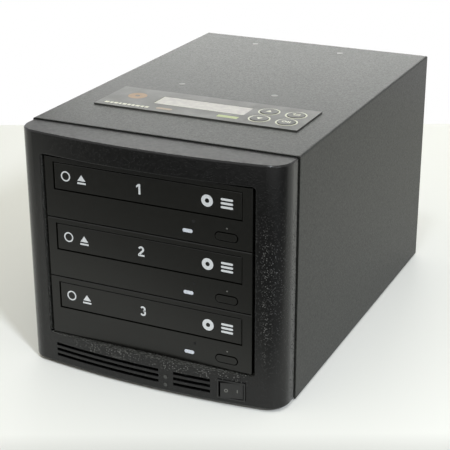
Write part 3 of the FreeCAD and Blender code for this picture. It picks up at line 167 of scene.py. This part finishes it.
def powder_coat():
    """Fine sand-textured black powder coat on the steel cover."""
    look = Look("powder_coat", (0.016, 0.017, 0.015), 0.38, Specular_IOR_Level=0.185)
    look.round_edges(0.0015)
    look.tint(look.noise(1100, 3.0, 0.7),
              [(0.38, (0.006, 0.0065, 0.0055)), (0.62, (0.028, 0.029, 0.026))])
    look.gloss(look.noise(800, 2.0), [(0.35, 0.34), (0.65, 0.42)])
    look.bump(look.noise(900, 3.0, 0.6), 0.00016, 0.5)
    return look.material


def grained_look(name, roughness):
    """Satin moulding of the bowed front, before its grain."""
    look = Look(name, (0.006, 0.006, 0.006), roughness, Specular_IOR_Level=0.38)
    look.round_edges(0.0009)
    look.gloss(look.noise(400, 2.0), [(0.3, roughness - 0.04), (0.7, roughness + 0.04)])
    return look


def grained_plastic(name, grain, depth, roughness):
    """The moulding with an even grain and a faint mottle."""
    look = grained_look(name, roughness)
    look.tint(look.noise(700, 3.0), [(0.3, (0.005, 0.005, 0.005)), (0.7, (0.008, 0.008, 0.0075))])
    look.bump(look.ramp(look.cells(grain), [(0.0, 1.0), (0.34, 0.0)]), depth)
    look.bump(look.noise(2.5 * grain, 2.0), 0.2 * depth, 0.4)
    return look.material


def front_grain_and_painted_glints():
    """The moulding of the front with a real grain relief, and pale specks painted in its colour under
    the window and down the right column: painted glints where the grain catches the light.
    """
    look = grained_look("grained_plastic", 0.2)
    sill_glint_strip = look.combine("MULTIPLY", look.along("X", [(-62, 0.0), (-40, 1.0), (66, 1.0), (74, 0.0)]),
                         look.along("Z", [(17, 0.0), (19, 1.0), (25.5, 1.0), (26.5, 0.0)]))
    column = look.combine("MULTIPLY", look.along("X", [(79, 0.0), (82, 1.0), (86, 1.0), (89, 0.0)]),
                          look.along("Z", [(26, 0.0), (60, 0.8), (110, 0.8), (140, 0.0)]))
    chosen = look.ramp(look.cells(950, "Color"), [(0.55, 0.0), (0.6, 1.0)])
    dots = look.ramp(look.cells(950), [(0.26, 1.0), (0.38, 0.0)])
    specks = look.combine("MULTIPLY", chosen, dots)
    painted_glints = look.combine("MULTIPLY", look.combine("MAXIMUM", sill_glint_strip, column), specks)
    # Painted glints: pale specks in the colour, only where the light catches the grain.
    look.tint(painted_glints, [(0.0, (0.003, 0.003, 0.003)), (1.0, (0.15, 0.15, 0.145))])
    raised = look.ramp(look.cells(720), [(0.0, 1.0), (0.34, 0.0)])
    fading_up = look.along("Z", [(110, 1.0), (146, 0.25)])
    look.bump(look.combine("MULTIPLY", raised, fading_up), 0.00028)
    look.bump(look.noise(1800, 2.0), 0.00004, 0.4)
    return look.material


def ledge_painted_glints():
    """The same moulding on the window's sill and left wall, pale-specked in its colour: a painted
    glint of light on its grain.
    """
    look = Look("ledge_painted_glints", (0.07, 0.07, 0.065), 0.6)
    # Pale specks painted in the colour: glints of light on the upward sill and the left wall.
    look.tint(look.noise(900, 3.0, 0.8), [(0.5, (0.008, 0.008, 0.007)), (0.66, (0.2, 0.2, 0.19))])
    look.bump(look.cells(800), 0.0003, 0.6)
    return look.material


def satin_plastic():
    """Satin black of the drive fronts."""
    look = Look("satin_plastic", (0.005, 0.005, 0.0038), 0.24, Specular_IOR_Level=0.4)
    look.round_edges(0.0003)
    look.tint(look.noise(900, 2.0), [(0.3, (0.0025, 0.0025, 0.0018)), (0.7, (0.0045, 0.0045, 0.0032))])
    look.gloss(look.noise(300, 2.0), [(0.3, 0.22), (0.7, 0.27)])
    look.bump(look.noise(2200, 2.0), 0.00003, 0.4)
    return look.material


def moulded_plastic(name, colour, roughness):
    """Plain moulded plastic with a faint flow mottle."""
    look = Look(name, colour, roughness)
    dark = tuple(0.85 * part for part in colour)
    light = tuple(1.15 * part for part in colour)
    look.tint(look.noise(260, 2.0), [(0.3, dark), (0.7, light)])
    look.gloss(look.noise(140, 2.0), [(0.3, roughness - 0.05), (0.7, roughness + 0.05)])
    look.bump(look.noise(1500, 2.0), 0.00006, 0.35)
    return look.material


def zinc_steel():
    """Galvanised sheet with its spangle."""
    look = Look("zinc_steel", (0.42, 0.42, 0.43), 0.4, Metallic=1.0)
    look.tint(look.cells(140, "Color"), [(0.1, (0.37, 0.375, 0.38)), (0.9, (0.46, 0.465, 0.47))])
    look.gloss(look.cells(140, "Distance"), [(0.2, 0.34), (0.8, 0.46)])
    look.bump(look.noise(700, 2.0), 0.00004, 0.4)
    return look.material


def screw_steel():
    """Plated screw heads with fine turning marks."""
    look = Look("screw_steel", (0.34, 0.34, 0.34), 0.33, Metallic=1.0)
    look.tint(look.noise(600, 2.0), [(0.3, (0.27, 0.27, 0.28)), (0.7, (0.40, 0.40, 0.40))])
    look.bump(look.noise(900, 2.0, 0.5, (1, 1, 8)), 0.00005, 0.5)
    return look.material


def foot_rubber():
    """Matte rubber with a dusty mottle."""
    look = Look("foot_rubber", (0.025, 0.025, 0.025), 0.8)
    look.tint(look.noise(300, 3.0), [(0.3, (0.02, 0.02, 0.02)), (0.7, (0.035, 0.034, 0.033))])
    look.bump(look.noise(1200, 2.0), 0.0001, 0.5)
    return look.material


def overlay_film():
    """Matte grey film of the control panel."""
    look = Look("overlay_film", (0.06, 0.06, 0.056), 0.42)
    look.tint(look.noise(700, 2.0), [(0.3, (0.052, 0.052, 0.048)), (0.7, (0.068, 0.068, 0.063))])
    look.gloss(look.noise(90, 2.0), [(0.3, 0.38), (0.7, 0.46)])
    look.bump(look.noise(1800, 2.0), 0.00004, 0.4)
    return look.material


def display_panel():
    """Pale display window with a faint mottle, wider than high."""
    look = Look("display_panel", (0.42, 0.40, 0.38), 0.42)
    look.tint(look.noise(260, 2.0, 0.6, (1, 1.6, 1)),
              [(0.35, (0.37, 0.345, 0.35)), (0.65, (0.47, 0.455, 0.425))])
    return look.material


def circuit_board():
    """Green solder mask with copper tracks showing through."""
    look = Look("circuit_board", (0.02, 0.12, 0.05), 0.35)
    look.tint(look.noise(180, 1.0, 0.4, (1, 6, 1)),
              [(0.45, (0.015, 0.10, 0.04)), (0.55, (0.03, 0.17, 0.07))])
    look.bump(look.noise(180, 1.0, 0.4, (1, 6, 1)), 0.0001, 0.4)
    return look.material


def milky_lens():
    """Pale blue-white light guides on the drives."""
    look = Look("milky_lens", (0.66, 0.69, 0.78), 0.3, Subsurface_Weight=0.2)
    look.set("Subsurface Radius", (0.001, 0.001, 0.0012))
    look.tint(look.noise(900, 2.0), [(0.3, (0.58, 0.61, 0.70)), (0.7, (0.74, 0.77, 0.85))])
    return look.material


def dark_lens():
    """Tinted lamps that are off."""
    look = Look("dark_lens", (0.02, 0.021, 0.02), 0.15, Coat_Weight=0.5)
    look.tint(look.noise(900, 2.0), [(0.3, (0.012, 0.013, 0.012)), (0.7, (0.035, 0.037, 0.033))])
    return look.material


def printed_ink(name, colour):
    """Screen-printed ink, a little uneven."""
    look = Look(name, colour, 0.5)
    worn = tuple(0.86 * part for part in colour)
    look.tint(look.noise(1200, 2.0), [(0.35, worn), (0.6, colour)])
    look.bump(look.noise(2500, 2.0), 0.00003, 0.4)
    return look.material


LOOKS = {
    "coat": powder_coat(),
    # The front's look: real grain relief with painted glints in its colour.
    "grain": front_grain_and_painted_glints(),
    "fine_grain": grained_plastic("fine_grained_plastic", 1400, 0.00003, 0.42),
    "edge": grained_plastic("edge_plastic", 1400, 0.00001, 0.24),
    # Painted glints of light on the window's sill and left wall.
    "ledge": ledge_painted_glints(),
    "satin": satin_plastic(),
    "switch": moulded_plastic("switch_plastic", (0.008, 0.008, 0.008), 0.4),
    "inner": moulded_plastic("inner_plastic", (0.04, 0.04, 0.043), 0.5),
    "tray": moulded_plastic("tray_plastic", (0.03, 0.03, 0.032), 0.42),
    "key": moulded_plastic("key_plastic", (0.07, 0.07, 0.065), 0.45),
    "fan": moulded_plastic("fan_plastic", (0.02, 0.02, 0.022), 0.4),
    "sleeve": moulded_plastic("cable_sleeve", (0.30, 0.04, 0.04), 0.45),
    "zinc": zinc_steel(),
    "screw": screw_steel(),
    "rubber": foot_rubber(),
    "film": overlay_film(),
    "display": display_panel(),
    "board": circuit_board(),
    "milky": milky_lens(),
    "lamp": dark_lens(),
    "white": printed_ink("white_ink", (0.72, 0.74, 0.78)),
    "cream": printed_ink("cream_ink", (0.70, 0.70, 0.58)),
    "orange": printed_ink("orange_ink", (0.34, 0.22, 0.13)),
    "tan": printed_ink("tan_ink", (0.34, 0.27, 0.19)),
    "pale": printed_ink("pale_ink", (0.66, 0.66, 0.56)),
    "grey": printed_ink("grey_ink", (0.16, 0.16, 0.15)),
    "green": printed_ink("green_ink", (0.42, 0.48, 0.24)),
    "shade": moulded_plastic("hole_shade", (0.001, 0.001, 0.001), 0.9),
    # Paler colour of the painted highlights over the stud dimples.
    "weld": moulded_plastic("painted_dimple_highlight", (0.10, 0.102, 0.097), 0.4),
}

FINISHES = {
    "coat": ["top_cover", "rear_panel"],
    "grain": ["front_bezel"],
    "satin": [f"drive_{n}_{piece}" for n in DRIVES
              for piece in ("bezel", "tray_front", "eject_button")],
    "switch": ["power_switch_housing", "power_switch_rocker", "psu_switch_housing",
               "psu_switch_rocker", "ac_inlet"],
    "inner": ["drive_decks", "lcd_module"] + [f"drive_{n}_{piece}" for n in DRIVES
                                              for piece in ("spindle", "pickup")],
    "tray": [f"drive_{n}_tray" for n in DRIVES],
    "key": ["up_key", "down_key", "escape_key", "enter_key"],
    "fan": ["exhaust_fan_frame", "exhaust_fan_rotor"],
    "sleeve": ["data_cables", "power_harness"],
    "zinc": ["base_pan", "front_frame", "drive_bracket_left", "drive_bracket_right", "psu_case"]
            + [f"drive_{n}_shell" for n in DRIVES],
    "screw": ["rear_screws", "drive_screws", "cover_studs"],
    "rubber": ["rubber_feet"],
    "film": ["control_overlay"],
    "display": ["lcd_lens"],
    "board": ["control_board", "controller_board", "psu_board"],
    "milky": ["drive_led_windows"],
    "lamp": ["status_leds"],
}


def dress(node, look):
    """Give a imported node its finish."""
    slots = nodes[node].data.materials
    slots.clear()
    slots.append(LOOKS[look])


def dress_faces(node, look, test):
    """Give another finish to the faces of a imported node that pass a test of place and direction."""
    data = nodes[node].data
    data.materials.append(LOOKS[look])
    for face in data.polygons:
        if test(face.center / MM, face.normal):
            face.material_index = len(data.materials) - 1


def socket_blades(spot, out):
    """Blades standing in the mains socket."""
    return (abs(spot.x - SOCKET_X) < BLADES_REACH_X and abs(spot.z - SOCKET_Z) < BLADES_REACH_Z
            and spot.y > SOCKET_FLOOR)


def bezel_top(spot, out):
    """Flat top of the bezel."""
    return out.z > 0.9 and spot.z > BEZEL_TOP - NEAR


def bezel_top_edge(spot, out):
    """Rounded edge between the bezel's top and its front."""
    return 0.1 < out.z < 0.9 and spot.z > BEZEL_TOP - NEAR


def window_sill(spot, out):
    """Upward face under the drives."""
    return out.z > 0.7 and abs(spot.z - WINDOW_LOW) < NEAR


def window_left_wall(spot, out):
    """Inner face left of the drives."""
    return out.x > 0.9 and abs(spot.x + WINDOW_HALF) < NEAR


for look_name, members in FINISHES.items():
    for member in members:
        dress(member, look_name)
dress_faces("ac_inlet", "screw", socket_blades)
dress_faces("front_bezel", "fine_grain", bezel_top)
dress_faces("front_bezel", "edge", bezel_top_edge)
# The sill and the left wall of the window get painted glints of light.
dress_faces("front_bezel", "ledge", window_sill)
dress_faces("front_bezel", "ledge", window_left_wall)


# Softened edges


MERGE_REACH = 0.002
EDGE_SEGMENTS = 2
EDGE_ANGLE = 40

# Nodes under the width of their softened edges.
SOFT_EDGES = {
    0.35: ["rubber_feet", "rear_screws"],
    0.25: [f"drive_{n}_tray_front" for n in DRIVES],
    0.2: ["power_switch_rocker", "power_switch_housing", "control_overlay", "psu_switch_rocker",
          "psu_switch_housing"],
    0.12: ["up_key", "down_key", "escape_key", "enter_key"]
          + [f"drive_{n}_eject_button" for n in DRIVES],
}


def soften(node, width):
    """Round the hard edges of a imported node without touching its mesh."""
    item = nodes[node]
    weld = item.modifiers.new("weld", "WELD")
    weld.merge_threshold = MERGE_REACH * MM
    bevel = item.modifiers.new("edge", "BEVEL")
    bevel.width = width * MM
    bevel.segments = EDGE_SEGMENTS
    bevel.limit_method = "ANGLE"
    bevel.angle_limit = math.radians(EDGE_ANGLE)
    bevel.harden_normals = True


for edge_width, members in SOFT_EDGES.items():
    for member in members:
        soften(member, edge_width)


# Printed marks, painted shade and highlights, and small trim


TOP = (Vector((1, 0, 0)), Vector((0, 1, 0)), Vector((0, 0, 1)))
FRONT = (Vector((1, 0, 0)), Vector((0, 0, 1)), Vector((0, -1, 0)))
BACK = (Vector((-1, 0, 0)), Vector((0, 0, 1)), Vector((0, 1, 0)))


def mark(name, shapes, origin, plane, look, body, thick=INK):
    """Thin piece made of closed outlines, in millimetres on a plane, for print and for painted shade
    and highlights.
    """
    across, along, out = plane
    mesh = bmesh.new()
    for outline in shapes:
        corners = []
        for u, v in outline:
            spot = Vector(origin) + across * u + along * v
            corners.append(mesh.verts.new(spot * MM))
        face = mesh.faces.new(corners)
        raised = bmesh.ops.extrude_face_region(mesh, geom=[face])
        lifted = [item for item in raised["geom"] if isinstance(item, bmesh.types.BMVert)]
        bmesh.ops.translate(mesh, verts=lifted, vec=out * thick * MM)
    bmesh.ops.recalc_face_normals(mesh, faces=mesh.faces)
    data = bpy.data.meshes.new(name)
    mesh.to_mesh(data)
    mesh.free()
    data.materials.append(LOOKS[look])
    item = bpy.data.objects.new(name, data)
    bpy.context.scene.collection.objects.link(item)
    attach(item, body)


def arc_points(x, y, radius, start, end, steps):
    turns = [start + (end - start) * step / steps for step in range(steps + 1)]
    return [(x + radius * math.cos(math.radians(turn)), y + radius * math.sin(math.radians(turn)))
            for turn in turns]


def ring(x, y, inner, outer, steps=24):
    """Ring of quads, so that every outline stays a plain polygon."""
    shapes = []
    turn = 360 / steps
    for step in range(steps):
        outside = arc_points(x, y, outer, step * turn, (step + 1) * turn, 1)
        inside = arc_points(x, y, inner, (step + 1) * turn, step * turn, 1)
        shapes.append(outside + inside)
    return shapes


def disc(x, y, radius, steps=24):
    return arc_points(x, y, radius, 0, 360 * (steps - 1) / steps, steps - 1)


def bar(x, y, width, height):
    return [(x - width / 2, y - height / 2), (x + width / 2, y - height / 2),
            (x + width / 2, y + height / 2), (x - width / 2, y + height / 2)]


def pill(x, y, width, height):
    reach = (width - height) / 2
    return (arc_points(x + reach, y, height / 2, -90, 90, 8)
            + arc_points(x - reach, y, height / 2, 90, 270, 8))


def stroke(path, width):
    """Band of quads of one width along a path."""
    sides = []
    for index, spot in enumerate(path):
        before = Vector(path[max(index - 1, 0)])
        after = Vector(path[min(index + 1, len(path) - 1)])
        run = (after - before).normalized()
        aside = Vector((-run.y, run.x)) * width / 2
        sides.append((tuple(Vector(spot) + aside), tuple(Vector(spot) - aside)))
    return [[first[0], first[1], second[1], second[0]] for first, second in zip(sides, sides[1:])]


KEYS = {
    "up_key": (43.15, -45.6),
    "down_key": (43.15, -62.4),
    "escape_key": (62.65, -45.6),
    "enter_key": (62.65, -62.4),
}
KEY_SIGNS = {
    "up_key": [[(-2.2, -1.4), (2.2, -1.4), (0, 2.2)]],
    "down_key": [[(-2.2, 1.4), (0, -2.2), (2.2, 1.4)]],
    "escape_key": [bar(0.6, -1.0, 4.4, 0.8), bar(2.4, 0.2, 0.8, 1.8), bar(0.6, 1.4, 4.4, 0.8),
                   [(-1.2, 3.0), (-3.2, 1.4), (-1.2, -0.2)]],
    "enter_key": ring(-1.6, 0, 1.0, 1.7, 16) + [bar(1.0, 0, 0.8, 3.4), bar(2.4, 0, 0.8, 3.4)],
}
KEY_RING_INNER = 6.55
KEY_RING_OUTER = 7.55
PANEL_LABEL = bar(22.3, SEAM_Y + 53.6, 15.0, 4.4)
PANEL_DISC = ring(-56.0, -48.6, 1.8, 6.8, 36)
PANEL_TAB = pill(-24.5, -68.8, 12.0, 3.4)
DISPLAY_BORDER = [bar(-37.1, -50.85, 0.6, 16.4), bar(-3.65, -58.85, 66.3, 0.6)]

# Widths of the row of plain blocks along the panel's front edge.
PANEL_BLOCKS = (3.2, 2.2, 2.8, 1.8, 3.0, 2.4, 2.0, 3.2, 2.2, 2.6)
PANEL_BLOCK_GAP = 0.95
PANEL_BLOCK_HEIGHT = 3.0
PANEL_BLOCK_LEFT = -69.8
PANEL_BLOCK_Y = -70.0


def print_panel():
    """Printing on the control panel: key rings, key signs, plain shapes and the display's border."""
    face = (0, 0, OVERLAY_Z)
    for key, (x, y) in KEYS.items():
        mark(key + "_ring", ring(x, y, KEY_RING_INNER, KEY_RING_OUTER, 40), face, TOP, "cream", "case")
        mark(key + "_sign", KEY_SIGNS[key], (x, y, KEY_Z), TOP, "cream", key + "_body")
    mark("panel_label", [PANEL_LABEL], face, TOP, "green", "case")
    mark("panel_disc_sign", PANEL_DISC, face, TOP, "orange", "case")
    mark("panel_tab", [PANEL_TAB], face, TOP, "tan", "case")
    blocks = []
    left = PANEL_BLOCK_LEFT
    for width in PANEL_BLOCKS:
        blocks.append(bar(left + width / 2, PANEL_BLOCK_Y, width, PANEL_BLOCK_HEIGHT))
        left += width + PANEL_BLOCK_GAP
    mark("panel_blocks", blocks, face, TOP, "cream", "case")
    mark("display_border", DISPLAY_BORDER, (0, 0, LENS_Z), TOP, "pale", "case")


NUMERALS = {
    1: [bar(0.0, 0.0, 1.4, 7.0), [(-0.7, 3.5), (-2.3, 2.1), (-2.3, 0.8), (-0.7, 1.9)]],
    2: stroke(arc_points(0, 1.4, 1.5, 165, -35, 14) + [(-1.7, -2.4)], 1.3) + [bar(0, -2.9, 4.6, 1.2)],
    3: stroke(arc_points(0, 1.5, 1.4, 155, -75, 14), 1.2)
       + stroke(arc_points(0, -1.3, 1.6, 75, -155, 14), 1.2),
}

# Signs on every tray front, with their heights measured from the numeral's middle.
TRAY_SIGNS = {
    "disc_sign": ring(43.5, 0, 1.5, 4.0, 28),
    "stack_sign": [pill(57.0, shift, 8.4, 1.5) for shift in (-2.6, 0, 2.6)],
    "ring_sign": ring(-58.5, 0.4, 2.6, 3.5, 28),
    "arrow_sign": [[(-49.6, -1.2), (-43.6, -1.2), (-46.6, 3.0)], bar(-46.6, -2.8, 6.4, 1.2)],
}
NUMERAL_X = -4.0
SIGN_HEIGHT = 29.6
PINHOLE_SHADE = disc(34.0, 14.4, 1.1)
BUTTON_DOT = disc(57.2, 13.4, 0.5)


def print_drive(n):
    """Numeral and plain signs on a drive's tray front, and below it the pinhole's painted shade and a
    grey dot.
    """
    level = DRIVE_LEVELS[n]
    tray = f"drive_{n}_tray_unit"
    signs = (0, FACE_Y + TRAY_RECESS, level + SIGN_HEIGHT)
    numeral = (NUMERAL_X, FACE_Y + TRAY_RECESS, level + SIGN_HEIGHT)
    mark(f"drive_{n}_numeral", NUMERALS[len(DRIVES) + 1 - n], numeral, FRONT, "white", tray)
    for sign, shapes in TRAY_SIGNS.items():
        mark(f"drive_{n}_{sign}", shapes, signs, FRONT, "white", tray)
    # Painted shade of the pinhole: a flat dark disc.
    mark(f"drive_{n}_pinhole", [PINHOLE_SHADE], (0, FACE_Y, level), FRONT, "shade", "case")
    mark(f"drive_{n}_dot", [BUTTON_DOT], (0, FACE_Y, level), FRONT, "grey", "case")


# Each rocker's plane, height and two faces: middle of each and how far it turns about the upright.
ROCKERS = {
    "power": (FRONT, 12.4, {"on": ((65.395, -145.075), 10.6), "off": ((58.155, -146.835), 16.8)}),
    "psu": (BACK, 19.5, {"on": ((37.12, 145.58), 11.07), "off": ((29.74, 144.54), 4.93)}),
}
ROCKER_SIGNS = {"on": [bar(0, 0, 0.6, 2.2)], "off": ring(0, 0, 0.75, 1.25, 20)}


def print_rocker(rocker):
    """Line and circle on the two halves of a rocker."""
    plane, z, faces = ROCKERS[rocker]
    for side, ((x, y), turn) in faces.items():
        turned = Matrix.Rotation(math.radians(turn), 3, "Z")
        mark(f"{rocker}_{side}_sign", ROCKER_SIGNS[side], (x, y, z),
             tuple(turned @ axis for axis in plane), "grey", f"{rocker}_rocker_body")


# Screw heads on the back: how far back they stand, and places right of the middle that repeat left.
SCREW_HEADS = {
    "cover": (148.0, ((58.0, 163.0), (89.4, 43.5), (89.4, 119.5))),
    "panel": (147.0, ((35.75, 74.25), (35.75, 145.75), (56.5, 8.5), (56.5, 60.0))),
}
RECESS_REACH = 1.5
RECESS_HALF = 0.35


def cross(x, z, reach, half):
    """Outline of an upright cross."""
    corners = [(half, half), (half, reach), (-half, reach), (-half, half), (-reach, half),
               (-reach, -half), (-half, -half), (-half, -reach), (half, -reach), (half, -half),
               (reach, -half), (reach, half)]
    return [(x + u, z + v) for u, v in corners]


def screw_recess_shades():
    """Painted shade of the cross recesses in the screw heads on the back: flat dark crosses laid on
    the heads.
    """
    for group, (y, places) in SCREW_HEADS.items():
        shapes = [cross(side * x, z, RECESS_REACH, RECESS_HALF) for x, z in places for side in (-1, 1)]
        mark(f"{group}_screw_recess_shades", shapes, (0, y, 0), BACK, "shade", "case")


# Painted highlights of the shallow dimples over the studs: places right of the middle and back from
# the seam.
DIMPLE_HIGHLIGHT_SPOTS = ((-42.8, 115.0), (30.2, 115.0), (-42.8, 247.0), (30.2, 247.0))
DIMPLE_HIGHLIGHT_RADIUS = 2.4
DIMPLE_HIGHLIGHT_HEIGHT = 0.06


def stud_dimple_highlights():
    """Faint paler discs over the board studs under the cover: painted highlights standing in for light
    caught by shallow dimples there.
    """
    for number, (x, y) in enumerate(DIMPLE_HIGHLIGHT_SPOTS, 1):
        spot = disc(x, SEAM_Y + y, DIMPLE_HIGHLIGHT_RADIUS, 28)
        mark(f"painted_dimple_highlight_{number}", [spot], (0, 0, TOP_Z), TOP, "weld", "case", DIMPLE_HIGHLIGHT_HEIGHT)


print_panel()
for drive_number in DRIVES:
    print_drive(drive_number)
for rocker_name in ROCKERS:
    print_rocker(rocker_name)
screw_recess_shades()
stud_dimple_highlights()

# Stage

FLOOR_TURN = math.radians(25.34)
FLOOR_REACH = 4.0
FLOOR_NEAR = -0.6
FLOOR_FAR = 0.452

# Greys of the floor, a painted shade that is darkest at its near edge, placed as shares of the way
# from its near edge to where its ramp ends.
FLOOR_RAMP_END = -0.1
FLOOR_SHADE_GREYS = [(0.0, 0.08), (0.45, 0.12), (0.68, 0.32), (0.82, 0.88)]

WALL_WHITE = (0.985, 1.0, 0.96)
CEILING_WHITE = (1.0, 0.985, 0.84)
LAMP_WHITE = (0.88, 0.94, 1.0)

# The ceiling's glow: its direction, the cosines where it is full and where it ends, and its strength.
CEILING_DIRECTION = Vector((0.15, -0.3, 1.0))
CEILING_FULL = 0.95
CEILING_END = 0.0
CEILING_STRENGTH = 0.95

LAMP_DISTANCE = 2.0
LAMP_TARGET = Vector((0, 0, 0.08))

SENSOR_WIDTH = 36.0
LENS = 99.496
CAMERA_PLACE = Vector((358.161, -784.954, 414.994)) * MM
CAMERA_TARGET = Vector((-11.142, -0.546, 62.247)) * MM
CAMERA_ROLL = math.radians(-0.131)


def build_floor():
    """Pale table whose colour darkens into a painted shade in front, with its far edge against the
    white background.
    """
    data = bpy.data.meshes.new("floor")
    corners = [(-FLOOR_REACH, FLOOR_NEAR), (FLOOR_REACH, FLOOR_NEAR),
               (FLOOR_REACH, FLOOR_FAR), (-FLOOR_REACH, FLOOR_FAR)]
    data.from_pydata([(x, y, 0) for x, y in corners], [], [(0, 1, 2, 3)])
    look = Look("floor", (0.88, 0.88, 0.87), 0.6)
    parts = look.tree.nodes.new("ShaderNodeSeparateXYZ")
    look.link(look.place, parts.inputs["Vector"])
    depth = look.tree.nodes.new("ShaderNodeMapRange")
    depth.inputs["From Min"].default_value = FLOOR_NEAR
    depth.inputs["From Max"].default_value = FLOOR_RAMP_END
    look.link(parts.outputs["Y"], depth.inputs["Value"])
    look.tint(depth.outputs["Result"], FLOOR_SHADE_GREYS)
    data.materials.append(look.material)
    floor = bpy.data.objects.new("floor", data)
    floor.rotation_euler.z = FLOOR_TURN
    bpy.context.scene.collection.objects.link(floor)


def ceiling_glow(tree):
    """Soft light from above: full within one cosine of its direction and gone at another."""
    place = tree.nodes.new("ShaderNodeTexCoord").outputs["Generated"]
    aim = tree.nodes.new("ShaderNodeVectorMath")
    aim.operation = "DOT_PRODUCT"
    aim.inputs[1].default_value = CEILING_DIRECTION.normalized()
    tree.links.new(place, aim.inputs[0])
    fade = tree.nodes.new("ShaderNodeMapRange")
    fade.interpolation_type = "SMOOTHSTEP"
    fade.inputs["From Min"].default_value = CEILING_END
    fade.inputs["From Max"].default_value = CEILING_FULL
    fade.inputs["To Max"].default_value = CEILING_STRENGTH
    tree.links.new(aim.outputs["Value"], fade.inputs["Value"])
    light = tree.nodes.new("ShaderNodeBackground")
    light.inputs["Color"].default_value = (*CEILING_WHITE, 1.0)
    tree.links.new(fade.outputs["Result"], light.inputs["Strength"])
    return light.outputs["Background"]


def build_world():
    """White for the camera, mirrors and glass; for the rest, a soft ceiling."""
    world = bpy.data.worlds.new("studio")
    bpy.context.scene.world = world
    world.use_nodes = True
    tree = world.node_tree
    tree.nodes.clear()
    white = tree.nodes.new("ShaderNodeBackground")
    white.inputs["Color"].default_value = (1.0, 1.0, 1.0, 1.0)
    rays = tree.nodes.new("ShaderNodeLightPath")
    seen = rays.outputs["Is Camera Ray"]
    for other in ("Is Glossy Ray", "Is Transmission Ray"):
        either = tree.nodes.new("ShaderNodeMath")
        either.operation = "MAXIMUM"
        tree.links.new(seen, either.inputs[0])
        tree.links.new(rays.outputs[other], either.inputs[1])
        seen = either.outputs["Value"]
    mix = tree.nodes.new("ShaderNodeMixShader")
    tree.links.new(seen, mix.inputs["Fac"])
    tree.links.new(ceiling_glow(tree), mix.inputs[1])
    tree.links.new(white.outputs["Background"], mix.inputs[2])
    out = tree.nodes.new("ShaderNodeOutputWorld")
    tree.links.new(mix.outputs["Shader"], out.inputs["Surface"])


def lamp(name, azimuth, elevation, size, energy, colour):
    """Square soft lamp aimed at the part. Azimuth 0 is in front and 90 to the right."""
    data = bpy.data.lights.new(name, "AREA")
    data.size = size
    data.energy = energy
    data.color = colour
    around = math.radians(azimuth)
    above = math.radians(elevation)
    reach = Vector((math.sin(around) * math.cos(above), -math.cos(around) * math.cos(above),
                    math.sin(above)))
    item = bpy.data.objects.new(name, data)
    item.location = LAMP_TARGET + reach * LAMP_DISTANCE
    item.rotation_euler = reach.to_track_quat("Z", "Y").to_euler()
    item.visible_camera = False
    bpy.context.scene.collection.objects.link(item)


def build_camera():
    """The photo's camera, solved from the corners of the case and of the drive fronts."""
    data = bpy.data.cameras.new("camera")
    data.sensor_width = SENSOR_WIDTH
    data.lens = LENS
    item = bpy.data.objects.new("camera", data)
    item.location = CAMERA_PLACE
    aim = (CAMERA_TARGET - CAMERA_PLACE).to_track_quat("-Z", "Y").to_matrix().to_4x4()
    roll = Matrix.Rotation(CAMERA_ROLL, 4, "Z")
    item.rotation_euler = (aim @ roll).to_euler()
    bpy.context.scene.collection.objects.link(item)
    bpy.context.scene.camera = item


build_floor()
build_world()
lamp("key", azimuth=50, elevation=34, size=0.22, energy=23, colour=LAMP_WHITE)
lamp("front", azimuth=12, elevation=66, size=0.2, energy=5, colour=LAMP_WHITE)
lamp("back", azimuth=202, elevation=3.5, size=1.1, energy=12.6, colour=WALL_WHITE)
build_camera()
bpy.context.scene.view_settings.view_transform = "Standard"
